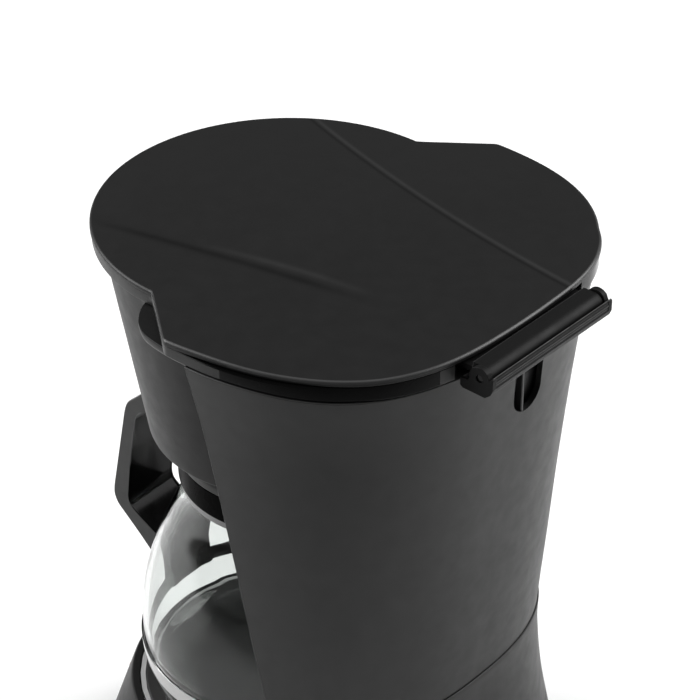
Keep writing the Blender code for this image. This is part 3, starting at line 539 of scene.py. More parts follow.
def crease_height(tree, where, curve, width, fades=()):
    """Height of a shallow fold along x = a + b*y + c*y*y in the plan, in units of the half width."""
    x, y, _ = body_place(tree, where)
    x, y = maths(tree, "DIVIDE", x, HALF_WIDTH), maths(tree, "DIVIDE", y, HALF_WIDTH)
    a, b, c = curve
    path = maths(tree, "ADD", maths(tree, "ADD", maths(tree, "MULTIPLY", y, b), a),
                 maths(tree, "MULTIPLY", maths(tree, "MULTIPLY", y, y), c))
    height = bell(tree, x, path, width)
    for start, end, low, high in fades:
        height = maths(tree, "MULTIPLY", height, fitted(tree, y, low, high, start, end))
    return height


def lid_material():
    """Satin lid top with its two faint moulded folds; besides the bump, the colour and the specular level along
    the folds are raised and lowered as painted highlight and painted shade.
    """
    mat, tree, shader, where = shader_nodes("lid_satin_plastic")
    base = tones(tree, noise(tree, where, 16.0, 4.0), grey(0.0044), grey(0.0053))
    gloss = fitted(tree, noise(tree, where, 150.0, 5.0), 0.40, 0.46)
    tree.links.new(gloss, shader.inputs["Roughness"])
    shader.inputs["IOR"].default_value = 1.4
    far = (-0.452, 0.2273, -0.0673)
    glint = crease_height(tree, where, far, 0.010)
    shade = crease_height(tree, where, (far[0] + 0.022, *far[1:]), 0.009)
    out = (0.12, 0.42, 1, 0)
    dip = crease_height(tree, where, (0.3760, -0.2093, 0.0402), 0.022, (out, (-0.85, -0.60, 0, 1)))
    rise = crease_height(tree, where, (0.3180, -0.2258, 0.1500), 0.018, (out, (-0.40, -0.10, 0, 1)))
    relief = maths(tree, "SUBTRACT", weighted(tree, glint, 0.75, rise, 0.55),
                   weighted(tree, shade, 0.35, dip, 0.40))
    # painted highlight and painted shade: the folds' relief lightens and darkens the base colour and the specular
    # level
    fold_painted_light = maths(tree, "ADD", relief, 1.0)
    tone = tree.nodes.new("ShaderNodeVectorMath")
    tone.operation = "SCALE"
    tree.links.new(base, tone.inputs[0])
    tree.links.new(fold_painted_light, tone.inputs["Scale"])
    tree.links.new(tone.outputs[0], shader.inputs["Base Color"])
    tree.links.new(maths(tree, "MULTIPLY", fold_painted_light, 0.5), shader.inputs["Specular IOR Level"])
    normal = bump(tree, shader, relief, 0.00012)
    bump(tree, shader, noise(tree, where, 2600.0, 2.0, 0.6), 0.000008, before=normal)
    return mat


def highlight_lined(name, place, spots, width, tone=0.10, base="satin_black_plastic"):
    """A plastic with pale lines painted in as edge highlights where a value, such as a height, has the given
    sizes.
    """
    mat = MATERIALS[base].copy()
    mat.name = name
    tree = mat.node_tree
    shader = tree.nodes["Principled BSDF"]
    where = tree.nodes.new("ShaderNodeTexCoord").outputs["Object"]
    value = place(tree, *body_place(tree, where))
    # painted highlight: pale lines mixed into the base colour at the given sizes, broken up by noise
    total = 0.0
    for spot in spots:
        total = maths(tree, "ADD", bell(tree, value, spot, width), total)
    uneven = fitted(tree, noise(tree, where, 260.0), 0.5, 1.0)
    mix = tree.nodes.new("ShaderNodeMix")
    mix.data_type = "RGBA"
    tree.links.new(maths(tree, "MULTIPLY", total, uneven), mix.inputs["Factor"])
    tree.links.new(shader.inputs["Base Color"].links[0].from_socket, mix.inputs["A"])
    mix.inputs["B"].default_value = (*grey(tone), 1)
    tree.links.new(mix.outputs["Result"], shader.inputs["Base Color"])
    return mat


def see_through(name, colour, share, ior, haze, wave, depth):
    """Glass or clear plastic; haze and wave are the noises of its roughness and of its surface."""
    mat, tree, shader, where = shader_nodes(name)
    shader.inputs["Base Color"].default_value = (*colour, 1)
    shader.inputs["Transmission Weight"].default_value = share
    shader.inputs["IOR"].default_value = ior
    rough = fitted(tree, noise(tree, where, haze[0], 4.0), *haze[1:])
    tree.links.new(rough, shader.inputs["Roughness"])
    bump(tree, shader, noise(tree, where, *wave), depth)
    return mat


def plate_material():
    """Black non-stick coating with a fine speckle and faint turning marks."""
    mat, tree, shader, where = shader_nodes("non_stick_coating")
    speck = tree.nodes.new("ShaderNodeTexVoronoi")
    speck.inputs["Scale"].default_value = 500.0
    tree.links.new(where, speck.inputs["Vector"])
    tone = tones(tree, speck.outputs["Distance"], grey(0.0150), grey(0.0135), 0.0, 0.35)
    tree.links.new(tone, shader.inputs["Base Color"])
    gloss = fitted(tree, noise(tree, where, 120.0, 4.0), 0.30, 0.45)
    tree.links.new(gloss, shader.inputs["Roughness"])
    x, y, _ = split(tree, where)
    y = maths(tree, "SUBTRACT", y, BODY_Y + FRONT_Y)
    far = maths(tree, "SQRT", weighted(tree, x, x, y, y))
    bump(tree, shader, maths(tree, "SINE", maths(tree, "MULTIPLY", far, 5200.0)), 0.000001)
    return mat


def metal(name, dark, light, rough, stretch=(1.0, 1.0, 1.0), scale=900.0, depth=0.00001):
    """Bare metal whose tone, gloss and relief share one grain, which the stretch draws out."""
    mat, tree, shader, where = shader_nodes(name)
    mapping = tree.nodes.new("ShaderNodeMapping")
    mapping.inputs["Scale"].default_value = stretch
    tree.links.new(where, mapping.inputs["Vector"])
    grain = noise(tree, mapping.outputs["Vector"], scale, 4.0)
    tree.links.new(tones(tree, grain, dark, light), shader.inputs["Base Color"])
    tree.links.new(fitted(tree, grain, *rough), shader.inputs["Roughness"])
    shader.inputs["Metallic"].default_value = 1.0
    bump(tree, shader, grain, depth)
    return mat


POLISHED = {"grain": 1200.0, "depth": 0.000002}
MATERIALS = {
    "satin_black_plastic": moulded("satin_black_plastic", (0.0082, 0.0084, 0.0081),
                                   (0.0096, 0.0098, 0.0095), (0.40, 0.48), ior=1.4),
    "gloss_black_plastic": moulded("gloss_black_plastic", grey(0.0035), grey(0.0050), (0.05, 0.11),
                                   ior=1.32, **POLISHED),
    "deep_black": moulded("deep_black_plastic", grey(0.0020), grey(0.0030), (0.10, 0.18),
                          ior=1.16, **POLISHED),
    "collar_black": moulded("collar_black_plastic", grey(0.0020), grey(0.0030), (0.24, 0.32),
                            ior=1.05, **POLISHED),
    # painted highlight: a paler copy of the satin black for rounded edges and rims
    "rim": moulded("rim_highlight_plastic", grey(0.020), grey(0.027), (0.34, 0.42)),
    "dark_satin": moulded("dark_satin_plastic", grey(0.0045), grey(0.0055), (0.46, 0.54), ior=1.24),
    "soft_satin": moulded("soft_satin_plastic", grey(0.0080), grey(0.0094), (0.42, 0.50), ior=1.27),
    "grey_inner_plastic": moulded("grey_inner_plastic", grey(0.012), grey(0.016), (0.45, 0.6),
                                  1800.0, 0.00002),
    "jug_glass": see_through("clear_jug_glass", (0.805, 0.825, 0.813), 1.0, 1.33,
                             (90.0, 0.0, 0.03, 0.35, 0.75), (34.0, 2.0), 0.00012),
    "clear_plastic": see_through("clear_gauge_plastic", (0.86, 0.89, 0.90), 0.92, 1.49,
                                 (260.0, 0.12, 0.22), (700.0,), 0.00003),
    "coated_hot_plate": plate_material(),
    "cast_aluminium": metal("cast_aluminium", grey(0.42), grey(0.58), (0.45, 0.62),
                            scale=1500.0, depth=0.00004),
    "steel": metal("plain_steel", grey(0.50), grey(0.62), (0.22, 0.38), (1.0, 1.0, 0.2)),
    "polished_steel": metal("polished_steel", grey(0.50), grey(0.58), (0.10, 0.18),
                            (0.2, 0.2, 1.0), 1600.0, 0.000002),
    "silicone": moulded("grey_silicone", grey(0.36), grey(0.42), (0.5, 0.62), 900.0, 0.00002),
    "black_rubber": moulded("black_rubber", grey(0.012), grey(0.02), (0.75, 0.9), 1400.0, 0.00004),
    "white_ceramic": moulded("white_ceramic", (0.70, 0.69, 0.65), (0.78, 0.77, 0.73), (0.55, 0.7),
                             1600.0, 0.00003),
    "red_lens": moulded("red_lens", (0.30, 0.010, 0.006), (0.36, 0.014, 0.008), (0.10, 0.16),
                        900.0, 0.000004),
}


def dress_cad_nodes():
    """Every CAD node gets its slot's material; those replaced later are hidden."""
    for part in frame["record"]["subparts"]:
        node = frame["nodes"][part["node"]]
        node.data.materials.clear()
        node.data.materials.append(MATERIALS[part["material_slot"]])


# ---- lid and hinge
def lid_rings(low, high, bottom, top, steps):
    """Rings of the lid panel, with rounded lower and upper edges."""
    rings = [(low + rise, inset) for rise, inset in rounded_edge(bottom, steps)]
    rings += [(high - fall, inset) for inset, fall in rounded_edge(top, steps)]
    return [at_height(lid_outline(inset), z) for z, inset in rings]


def build_lid():
    under = LID_LOW.z + 0.0007
    panel = loft("lid_top_panel", lid_rings(under, TOP, 0.0002, 0.0012, 8))
    settle(panel, "lid", "satin_black_plastic", "lid_panel", mat=lid_material())
    # painted highlight: the paler rim plastic on the rounded top edge of the lid's back half
    second_finish(panel, MATERIALS["rim"],
                  lambda face: 0.10 < face.normal.z < 0.985 and face.center.y > BODY_Y)
    second_finish(panel, MATERIALS["soft_satin"], lambda face: face.normal.z < -0.10)

    foot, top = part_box("lid_skirt")[0].z, under - 0.0002
    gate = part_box("hinge_leaf")[1].x + 0.0029      # half the gap that the hinge leaf needs
    outer, inner, r = 0.0005, 0.0034, 0.0004
    section = [(outer + 0.0003, top), (outer, top - 0.0003), (outer, foot + r)]
    section += [(outer + inward, foot + rise) for inward, rise in rounded_edge(r, 4)[1:]]
    section += [(inner, foot), (inner, top)]
    rows = []
    for inset, z in section:
        ring = lid_outline(inset, 0)
        back = max(range(len(ring)), key=lambda i: ring[i][1])
        ring = ring[back:] + ring[:back]
        kept = [i for i, (x, y) in enumerate(ring) if abs(x) > gate or y < 0.02]
        rows.append(at_height(ring[kept[0]:kept[-1] + 1], z))
    count = min(len(row) for row in rows)
    skirt = loft("lid_gloss_skirt", [row[:count] for row in rows], wrap=False, closed=True, angle=40)
    sink_back(skirt, foot, top)
    settle(skirt, "lid", "gloss_black_plastic", "lid_skirt", mat=MATERIALS["satin_black_plastic"])
    # painted shade: the darkest black on the skirt's upward faces and rear sides stands in for the shaded gap
    # under the lid panel
    second_finish(skirt, MATERIALS["deep_black"],
                  lambda face: face.normal.z > 0.5
                  or face.center.y - BODY_Y > 0.0250 and abs(face.center.x) > gate + 0.0075)


def sink_back(obj, full, none):
    """Lower a piece towards the back: by all of the depth at height full, not at all at height none."""
    for vertex in obj.data.vertices:
        share = min(max((vertex.co.z - none) / (full - none), 0.0), 1.0)
        vertex.co.z -= SINK_DEPTH * share * eased(vertex.co.y - BODY_Y, SINK_START, SINK_RUN)


def build_hinge():
    leaf_low, leaf_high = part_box("hinge_leaf")
    y, z = HINGE.y - BODY_Y, HINGE.z
    r = leaf_high.z - z
    profile = [(0.0700, 0.2766), (0.0700, 0.2787), (0.0863, 0.2787), (0.0863, z + r - 0.0007),
               (0.08645, z + r - 0.0002), (0.0869, z + r - 0.00005)]
    profile += arc(y, z, r, 90, -120, 26)
    profile += [(y - r * 0.6, 0.2766)]
    leaf = across("hinge_leaf_and_barrel", profile, leaf_low.x, leaf_high.x, 0.0002, angle=35)
    bores = [rod("bore", (s * 0.0275, y, z), (s * 0.0320, y, z), 0.0015) for s in (-1, 1)]
    cut(leaf, *bores)
    # painted highlight: a pale line along the front edge of the hinge leaf
    edge_highlight = highlight_lined("leaf_satin_plastic", lambda tree, x, y, z: y, (0.0864,), 0.00022, 0.08,
                 "dark_satin")
    settle(leaf, "lid", "satin_black_plastic", "hinge_leaf", mat=edge_highlight)

    low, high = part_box("hinge_bracket")
    back, half, foot = high.y - BODY_Y - 0.0012, high.x - 0.0010, low.z
    ridge = 0.00022
    wall = [(back - 0.0032, foot), (back - 0.0009, foot + 0.0019), (back - ridge, foot + 0.0036),
            (back, foot + 0.0039), (back, foot + 0.0044), (back - ridge, foot + 0.0047),
            (back - ridge, foot + 0.0061), (back, foot + 0.0064), (back, foot + 0.0069),
            (back - ridge, foot + 0.0072), (back - ridge, foot + 0.0080),
            (back - 0.0005, foot + 0.0087), (back - 0.0010, foot + 0.0084)]
    trough = [(0.0957, z + 0.0004)] + arc(y, z, 0.0040, -4, -150, 18)
    floor = [(0.0845, 0.2748), (0.0832, 0.2744), (0.0832, 0.2712), (0.0838, foot)]
    shelf = across("hinge_bracket_shelf", soften(wall, 0.0002) + trough + floor,
                   -half + 0.0010, half - 0.0010, 0.0001, 35)
    cheek = soften([(0.0838, foot), (back - 0.0032, foot), (back - 0.0008, foot + 0.0020),
                    (back, foot + 0.0040), (back, foot + 0.0082), (back - 0.0007, foot + 0.0087),
                    (back - 0.0013, foot + 0.0078)], 0.0004)
    cheek += arc(y, z, 0.0044, 42, 196, 26) + [(0.0866, 0.2748), (0.0832, 0.2744), (0.0832, 0.2712)]
    ears = []
    for side, word in ((-1, "left"), (1, "right")):
        ends = sorted((side * (leaf_high.x + 0.0005), side * half))
        ear = across("hinge_ear_%s" % word, cheek, *ends, 0.00025, 35)
        cut(ear, rod("bore", (side * 0.030, y, z), (side * 0.037, y, z), 0.0015))
        ears.append(ear)
    for piece in (shelf, *ears):
        relief = [at_height(rear_arc(h, -0.0004, 0.005), h) for h in (0.262, 0.270, BODY_TOP, 0.279)]
        cut(piece, loft("relief", relief))
    # painted highlight: pale lines along the bracket's ridges and edges
    lines = [foot + h for h in (0.0022, 0.0042, 0.0054, 0.0067, 0.0086)]
    edge_highlight = highlight_lined("bracket_satin_plastic", lambda tree, x, y, z: z, lines, 0.00012,
                 base="dark_satin")
    settle(shelf, "brewer", "satin_black_plastic", "hinge_bracket", mat=edge_highlight)
    for ear in ears:
        settle(ear, "brewer", "satin_black_plastic", mat=MATERIALS["dark_satin"])
    for side, node in ((1, "hinge_pin_right"), (-1, "hinge_pin_left")):
        pin = rod("%s_fine" % node, (side * 0.0280, y, z), (side * (half - 0.0006), y, z), 0.0012)
        finish = metal("%s_finish" % node, grey(0.03), grey(0.05), (0.4, 0.5))
        settle(pin, "brewer", "steel", node, mat=finish)


# ---- shells
def u_ring(z, grow, inset):
    """Closed section of the rear wall with rounded front edges, in plan."""
    r = 0.0007
    front = column_front(z)
    outer = rear_arc(z, inset - grow, front + r)
    inner = rear_arc(z, WALL - grow, front)
    x_edge = outer[0][0]
    right = [(x_edge - r + r * cos(a), front + r + r * sin(a)) for a in levels(0, -pi / 2, 6)[1:]]
    left = [(-x, y) for x, y in reversed(right)]
    return at_height(outer + left + inner[::-1] + right, z)


def u_wall(name, low, high, grow=0.0, count=44):
    """The rear wall between two heights, with rounded lower and upper edges."""
    edge = 0.0005
    rings = [u_ring(low + rise, grow, inset) for rise, inset in rounded_edge(edge, 4)]
    rings += [u_ring(z, grow, 0.0) for z in levels(low + edge, high - edge, count)[1:-1]]
    rings += [u_ring(high - fall, grow, inset) for inset, fall in rounded_edge(edge, 4)]
    return loft(name, rings)


def front_edge_distance(tree, x, y, z):
    """How far behind the leaning front edge of the column a point lies."""
    lean = maths(tree, "MULTIPLY", maths(tree, "SUBTRACT", TOP, z), COLUMN_LEAN)
    return maths(tree, "SUBTRACT", maths(tree, "SUBTRACT", y, COLUMN_FRONT), lean)


def build_rear_shell():
    shell = u_wall("rear_shell_fine", SHELL_LOW.z, SHELL_HIGH.z)
    sink_back(shell, SHELL_HIGH.z, 0.262)
    middle, half, low, high, slant = -0.0066, 0.0082, 0.2366, 0.2640, 0.11
    outline = [(middle - half, high), (middle - half, low + half)]
    outline += [(middle + half * cos(a), low + half + half * sin(a))
                for a in levels(pi, 2 * pi, 40)[1:-1]]
    outline += [(middle + half, low + half), (middle + half, high)]
    slot = loft("slot", [[(x - slant * (high - z), y, z) for x, z in outline] for y in (0.070, 0.095)])
    gauge = box_mesh("window", (-0.100, 0.0410, 0.128), (-0.040, 0.0480, 0.246))
    cut(shell, slot, gauge)
    # painted highlight: a pale line along the column's leaning front edge
    edge_highlight = highlight_lined("rear_satin_plastic", front_edge_distance, (0.0002,), 0.00028, 0.16)
    settle(shell, "brewer", "satin_black_plastic", "rear_shell", mat=edge_highlight)
    # painted highlight: the paler rim plastic on the upward faces of the shell's top edge
    second_finish(shell, MATERIALS["rim"], lambda face: face.normal.z > 0.3 and face.center.z > 0.268)

    fin_x, half, fin_low = -0.0073, 0.0007, 0.2368
    y = back_y(fin_low, fin_x) - 0.0002
    section = ((-1, -0.0030), (-1, -0.0003), (-0.5, 0), (0.5, 0), (1, -0.0003), (1, -0.0030))
    rows = [[(fin_x + side * half, y + step, z) for side, step in section]
            for z in levels(fin_low, 0.2645, 12)]
    fin = loft("overflow_slot_fin", rows)
    # painted highlight: the whole fin is in the paler rim plastic
    settle(fin, "brewer", "satin_black_plastic", mat=MATERIALS["rim"])

    pane = u_wall("gauge_pane_fine", 0.120, 0.255, count=30)
    keep = box_mesh("keep", (-0.100, 0.0413, 0.1283), (-0.040, 0.0477, 0.2457))
    cut(pane, keep, operation="INTERSECT")
    settle(pane, "brewer", "clear_plastic", "water_gauge")


def flare(z):
    """How much of the ear's width the wall has at a height: none below, all at the deck."""
    low, high = 0.2535, 0.2735
    return eased(z, low, high - low)


def ear_outline():
    """The top outline of the housing with its two deck corners, right half from the front."""
    corner = [(0.0693, -0.0318), (0.0705, -0.0300), (0.0728, -0.0288), (0.0748, -0.0280),
              (0.0768, -0.0268), (0.0790, -0.0252), (0.0809, -0.0236), (0.0828, -0.0216),
              (0.0844, -0.0194), (0.0857, -0.0172), (0.0867, -0.0148), (0.0873, -0.0118),
              (0.0878, -0.0085), (0.0882, -0.0050), (0.0884, 0.0000), (0.0885, 0.0080)]
    inner = [(0.0800, 0.0110), (0.0700, 0.0135), (0.0600, 0.0140), (0.0400, 0.0290),
             (0.0200, 0.0390), (0.0, 0.0415)]
    return front_arc(HOUSING_TOP_R, -pi / 2, radians(-6), 48) + corner + inner


def housing_ring(z, inset=0.0):
    """Section of the housing: the cone, widened towards the ears near the deck."""
    half = []
    for x, y in ear_outline():
        reach = hypot(x, y - FRONT_Y)
        radius = housing_radius(z) + max(reach - HOUSING_TOP_R, 0) * flare(z) - inset
        half.append((x / reach * radius, FRONT_Y + (y - FRONT_Y) / reach * radius))
    return at_height(mirrored(half), z)


def build_front_shell():
    edge, low_edge, below_ears, drain = 0.0005, 0.0014, 0.2525, 0.0095
    rings = [housing_ring(HOUSING_Z + rise, inset)
             for rise, inset in ((0, 0.0014), (0.0002, 0.0006), (0.0006, 0.0002), (low_edge, 0.0))]
    rings += [housing_ring(z) for z in levels(HOUSING_Z + low_edge, below_ears, 24)[1:]]
    rings += [housing_ring(z) for z in levels(below_ears, BODY_TOP - edge, 22)[1:]]
    rings += [housing_ring(BODY_TOP - fall, inset) for inset, fall in rounded_edge(edge, 4)[1:]]
    circle = directions(rings[-1])
    rings.append(round_ring(circle, HOUSING_TOP_R - WALL, BODY_TOP))
    for z in levels(BODY_TOP - 0.0008, HOUSING_Z + WALL, 10):
        rings.append(round_ring(circle, housing_radius(z) - WALL, z))
    rings += [round_ring(circle, drain, z) for z in (HOUSING_Z + WALL, HOUSING_Z)]
    shell = loft("front_shell_fine", rings, closed=True)
    low, high = (Vector(corner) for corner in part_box("riser_tube"))
    start = low.lerp(high, 0.5) - Vector((0, BODY_Y, 0))
    start.z = 0
    along = (Vector((0, FRONT_Y, 0)) - start).normalized()
    side, end = Vector((-along.y, along.x, 0)) * 0.0044, start + along * 0.045
    spots = (start - side, end - side, end + side, start + side)
    notch = loft("notch", [[(p.x, p.y, z) for p in spots] for z in (0.2658, 0.300)])
    cut(shell, notch)
    settle(shell, "brewer", "satin_black_plastic", "front_shell", mat=MATERIALS["soft_satin"])


def panel_rows(low, high, inner):
    """Rows across the column's front, which is hollowed out behind the jug."""
    rows = []
    for z in levels(low, high, 20):
        y = column_front(z) + 0.0010
        edge = side_x(z, y + WALL, WALL) - 0.0012
        r, y = RECESS_R + inner, y + inner
        bend = sqrt(r**2 - (y - FRONT_Y) ** 2)
        turn = atan2(y - FRONT_Y, bend)
        between = (edge + bend) / 2
        row = [(-edge, y), (-between, y)] + front_arc(r, pi - turn, turn, 49)
        rows.append(at_height(row + [(between, y), (edge, y)], z))
    return rows


def build_column_panel():
    low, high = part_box("column_panel")
    rows = panel_rows(low.z, high.z, 0.0) + panel_rows(low.z, high.z, WALL)[::-1]
    panel = loft("column_panel_fine", rows, wrap=False, closed=True)
    settle(panel, "brewer", "satin_black_plastic", "column_panel")


def build_base():
    edge, shoulder, well, ledge = 0.0006, BASE_STEP_Z - 0.0006, 0.0650, 0.0578
    inside, seat = 0.0250, 0.0561      # heights of the inner wall's foot and the plate's seat
    rings = [at_height(base_outline(z, WALL), z) for z in (inside, BASE_Z)]
    rings += [at_height(base_outline(BASE_Z + rise, inset), BASE_Z + rise)
              for rise, inset in rounded_edge(edge, 3)]
    rings += [at_height(base_outline(z), z) for z in levels(BASE_Z + edge, shoulder, 30)[1:]]
    rings += [at_height(base_outline(BASE_STEP_Z, 0.0012 * (1 - cos(a))),
                        shoulder + (DECK_Z - shoulder) * sin(a)) for a in levels(0, pi / 2, 6)[1:]]
    circle = directions(rings[-1])
    for radius, z in ((well + 0.0005, DECK_Z), (well + 0.0001, DECK_Z - 0.0001),
                      (well, DECK_Z - 0.0005), (well, seat), (ledge, seat), (ledge, 0.0540),
                      (ledge - 0.0003, inside)):
        rings.append(round_ring(circle, radius, z))
    base = loft("base_shell_fine", rings, closed=True)
    cut(base, switch_block("switch_cut", 0.0001), lamp_rod("lamp_cut", 0.0032, -0.010, 0.006),
        inlet_rod("inlet_cut", 0.0062))
    settle(base, "brewer", "satin_black_plastic", "base_shell", mat=MATERIALS["soft_satin"])
    column = u_wall("base_column_fine", DECK_Z - 0.0020, SEAM_Z, BASE_PROUD, count=24)
    # painted highlight: a pale line along the column's leaning front edge
    edge_highlight = highlight_lined("column_satin_plastic", front_edge_distance, (0.0002,), 0.00028)
    settle(column, "brewer", "satin_black_plastic", mat=edge_highlight)


# ---- switch and small fittings
LEAN = radians(18.8)
UP = Vector((0, sin(LEAN), cos(LEAN)))
OUT = Vector((0, -cos(LEAN), sin(LEAN)))
SWITCH = Vector((0, ROCKER.y - BODY_Y, ROCKER.z)) + OUT * 0.0020
SWITCH_HALF, SWITCH_TALL = 0.0125, 0.0085      # half the width, half the height


def on_front(name, outline, low, high, edge, angle=30):
    """A prism along X on the leaning front, from (upwards, outwards) points about the switch."""
    points = [SWITCH + UP * a + OUT * b for a, b in outline]
    return across(name, [(p.y, p.z) for p in points], low, high, edge, angle)


def oblong(half, low, high):
    return [(-half, low), (half, low), (half, high), (-half, high)]


def switch_block(name, grow):
    half = SWITCH_HALF + grow
    return on_front(name, oblong(SWITCH_TALL + grow, -0.0140, 0.0060), -half, half, 0.00001)


def lamp_rod(name, radius, low, high):
    spot = SWITCH + Vector((0.0210, 0.0025, 0))
    return rod(name, spot + OUT * low, spot + OUT * high, radius)


def inlet_rod(name, radius):
    low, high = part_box("cord_inlet_bushing")
    x, z = (low.x + high.x) / 2, (low.z + high.z) / 2
    return rod(name, (x, low.y - BODY_Y, z), (x, high.y - BODY_Y + 0.01, z), radius)


def build_switch():
    surround = soften(oblong(SWITCH_TALL, -0.0138, 0.0011), 0.0006)
    housing = on_front("switch_housing_fine", surround, -SWITCH_HALF, SWITCH_HALF, 0.0004)
    cut(housing, on_front("pocket", oblong(0.0069, -0.0080, 0.0050), -0.0109, 0.0109, 0.00001))
    settle(housing, "brewer", "gloss_black_plastic", "switch_housing")
    rocker = [(-0.0057, -0.0042), (0.0057, -0.0042), (0.0059, 0.0003)]
    rocker += [(0.0059 - 0.0114 * t, 0.0003 + 0.0030 * t - 0.0022 * sin(pi * t))
               for t in levels(0.05, 0.95, 14)]
    rocker += [(-0.0055, 0.0033), (-0.0059, 0.0028)]
    key = on_front("switch_rocker_fine", rocker, -0.0104, 0.0104, 0.0004, 25)
    settle(key, "rocker", "gloss_black_plastic", "switch_rocker")
    lens = lamp_rod("power_lamp_fine", 0.0030, -0.0060, 0.0011)
    settle(lens, "brewer", "red_lens", "power_lamp")


# ---- hot plate and jug
def build_plate():
    low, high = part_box("hot_plate")
    r, top = high.x, high.z
    profile = [(0, top), (r * 0.5, top), (r - 0.0012, top), (r - 0.0005, top - 0.0001),
               (r - 0.0001, top - 0.0005), (r, top - 0.0010), (r, low.z), (r - 0.0022, low.z),
               (r - 0.0022, top - 0.0024), (0, top - 0.0024)]
    plate = turned("hot_plate_fine", profile, closed=False)
    settle(plate, "brewer", "coated_hot_plate", "hot_plate")


def band_profile(grow):
    """The steel strap round the belly; its ends sit in a groove in the handle."""
    heights = levels(BAND_HIGH + grow, BAND_LOW - grow, 7)
    outside = [(smooth_value(GLASS_OUTSIDE, z) + 0.0009 + grow, z) for z in heights]
    return outside + [(r - 0.0006 - 2 * grow, z) for r, z in reversed(outside)]


def build_jug_glass():
    glass_low, glass_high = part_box("jug_glass")
    low, high, wall = glass_low.z, glass_high.z, 0.0020
    outside = [(smooth_value(GLASS_OUTSIDE, z), z) for z in levels(high - 0.0006, low + 0.0004, 90)]
    outside += [(0.0500, low + 0.0001), (0.0480, low), (0.0400, low + 0.0004), (0, low + 0.0008)]
    floor = low + wall + 0.0006
    inside = [(0, floor + 0.0004), (0.0380, floor + 0.0002), (0.0470, floor + 0.0002),
              (0.0500, floor + 0.0005), (0.0522, floor + 0.0013), (0.0542, floor + 0.0027)]
    inside += [(smooth_value(GLASS_OUTSIDE, z) - wall, z) for z in levels(0.0675, high - 0.0006, 84)]
    rim = smooth_value(GLASS_OUTSIDE, high)
    inside += [(rim - wall + 0.0003, high - 0.0002), (rim - wall * 0.5, high),
               (rim - 0.0003, high - 0.0002)]
    glass = turned("jug_glass_fine", inside + outside, closed=False, steps=160, angle=60)
    settle(glass, "jug", "jug_glass", "jug_glass")


def build_jug_top():
    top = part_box("jug_collar")[1].z
    collar = [(0.0446, top), (0.0448, 0.1660), (0.0447, 0.1648), (0.0439, 0.1614), (0.0437, 0.1612),
              (0.0431, 0.1612), (0.0431, 0.1640), (0.0426, 0.1655), (0.0426, top)]
    ring = turned("jug_collar_fine", collar, steps=160)
    settle(ring, "jug", "gloss_black_plastic", "jug_collar", mat=MATERIALS["collar_black"])
    pale = moulded("collar_edge_plastic", grey(0.15), grey(0.19), (0.35, 0.45))
    second_finish(ring, pale, lambda face: face.center.z < 0.1650)

    lid = [(0.0446, 0.1806), (0.0450, 0.1796), (0.0450, 0.1765), (0.0398, 0.1765), (0.0392, 0.1690),
           (0.0376, 0.1690), (0.0370, 0.1765), (0.0045, 0.1765), (0.0045, 0.1785), (0.0160, 0.1792),
           (0.0385, 0.1800), (0.0405, 0.1812), (0.0435, 0.1812)]
    cover = turned("jug_lid_fine", soften(lid, 0.0005))
    settle(cover, "jug", "satin_black_plastic", "jug_lid")


def build_jug_handle():
    """The strap handle, hollowed for the collar, the belly and the steel band that it grips."""
    low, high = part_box("jug_handle")
    outer = [(-0.0722, 0.1750), (-0.0860, 0.1750), (-0.0985, 0.1728), (-0.1068, 0.1655),
             (-0.1083, 0.1616), (-0.1179, 0.1172), (-0.1183, 0.1127), (-0.1165, 0.1085),
             (-0.1037, 0.0982), (-0.0962, 0.0915), (-0.0942, 0.0880), (-0.0936, 0.0772),
             (-0.0850, 0.0772)]
    inner = [(-0.0850, 0.1000), (-0.0935, 0.1030), (-0.1050, 0.1085), (-0.1090, 0.1112),
             (-0.1097, 0.1150), (-0.1062, 0.1410), (-0.1024, 0.1600), (-0.1000, 0.1640),
             (-0.0940, 0.1670), (-0.0722, 0.1670)]
    first = len(outer)
    profile = soften(outer + inner, 0.0030, keep=(first, first + 1))
    strap = across("jug_handle_fine", profile, low.x, high.x, 0.0012, 35)
    belly = [(smooth_value(GLASS_OUTSIDE, z) + 0.0006, z) for z in levels(0.108, 0.074, 24)]
    neck = [(0, 0.200), (0.0452, 0.200), (0.0452, 0.150), (0, 0.150)]
    cut(strap, turned("relief", neck, closed=False),
        turned("belly", [(0, 0.108)] + belly + [(0, 0.074)], closed=False),
        turned("groove", band_profile(0.0003)))
    band = turned("jug_band_fine", band_profile(0.0), steps=192)
    cut(band, box_mesh("ends", (-0.0118, -0.100, 0.070), (0.0118, -0.060, 0.095)))
    settle(band, "jug", "steel", "jug_band", mat=MATERIALS["polished_steel"])
    # painted shade and painted light: the darkest black on the strap stands in for the shade on its inner faces,
    # the paler satin for the light on its sides
    settle(strap, "jug", "gloss_black_plastic", "jug_handle", mat=MATERIALS["deep_black"])
    second_finish(strap, MATERIALS["satin_black_plastic"], lambda face: abs(face.normal.x) > 0.5)


# ---- camera, floor and light
CAMERA_TURN = radians(131.25)


def soft_light(name, spot, target, size, power):
    light = bpy.data.lights.new(name, "AREA")
    light.shape = "RECTANGLE"
    light.size = light.size_y = size
    light.energy = power
    obj = linked(name, light)
    obj.location = spot
    obj.rotation_euler = (Vector(target) - obj.location).to_track_quat("-Z", "Y").to_euler()


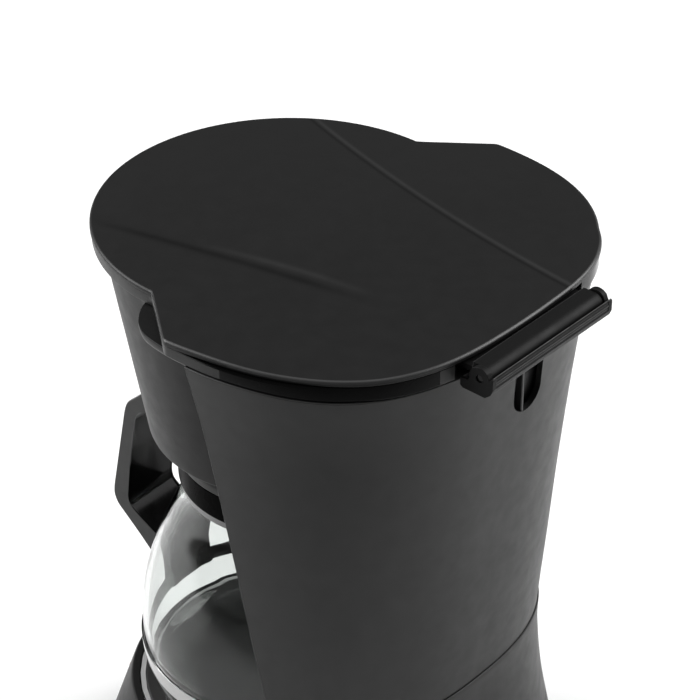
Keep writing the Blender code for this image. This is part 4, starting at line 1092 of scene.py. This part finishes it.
def build_camera():
    """The camera's place is in units of the body's half width, from the middle of the lid's top."""
    lens = bpy.data.cameras.new("photo_view")
    camera = linked("photo_view", lens)
    lens.sensor_width = 36
    lens.lens = 123.43
    camera.location = (6.0986 * HALF_WIDTH, BODY_Y + 5.3936 * HALF_WIDTH, TOP + 4.8970 * HALF_WIDTH)
    camera.rotation_euler = (radians(56.23), 0, CAMERA_TURN)
    bpy.context.scene.camera = camera


def build_studio():
    """Paper that shades to grey in front of the object, soft boxes on both sides and above."""
    right = Vector((cos(CAMERA_TURN), sin(CAMERA_TURN), 0))
    away = Vector((-sin(CAMERA_TURN), cos(CAMERA_TURN), 0))
    floor = bpy.data.meshes.new("studio_floor")
    corners = ((-8, -8), (8, -8), (8, 8), (-8, 8))
    floor.from_pydata([tuple(right * a + away * b) for a, b in corners], [], [(0, 1, 2, 3)])
    ground = linked("studio_floor", floor)
    mat, tree, shader, where = shader_nodes("studio_paper")
    x, y, _ = split(tree, where)
    behind = weighted(tree, x, away.x, y, away.y)
    mottle = fitted(tree, noise(tree, where, 3.0), -0.01, 0.01)
    shade = maths(tree, "ADD", fitted(tree, behind, 0.0, 0.98, -0.50, -0.22), mottle)
    paper = tones(tree, shade, grey(0.25), grey(0.95), 0.0, 1.0)
    tree.links.new(paper, shader.inputs["Base Color"])
    shader.inputs["Roughness"].default_value = 0.9
    shader.inputs["Specular IOR Level"].default_value = 0.1
    floor.materials.append(mat)

    world = bpy.data.worlds.new("studio")
    bpy.context.scene.world = world
    world.use_nodes = True
    background = world.node_tree.nodes["Background"]
    background.inputs["Color"].default_value = (1, 1, 1, 1)
    background.inputs["Strength"].default_value = 0.2

    middle, up = Vector((0, 0, 0.14)), Vector((0, 0, 1))
    for name, side, power in (("softbox_right", 1.3, 25), ("softbox_left", -1.3, 27)):
        spot = middle + right * side + away * 0.3 + up * 0.9
        soft_light(name, spot, middle + away * 0.1, 1.2, power)
    soft_light("softbox_top", middle + up * 2.6, middle + away * 0.2, 2.4, 16)


def main():
    dress_cad_nodes()
    build_lid()
    build_hinge()
    build_rear_shell()
    build_front_shell()
    build_column_panel()
    build_base()
    build_switch()
    build_plate()
    build_jug_glass()
    build_jug_top()
    build_jug_handle()
    build_camera()
    build_studio()
    bpy.context.scene.view_settings.view_transform = "Standard"


main()
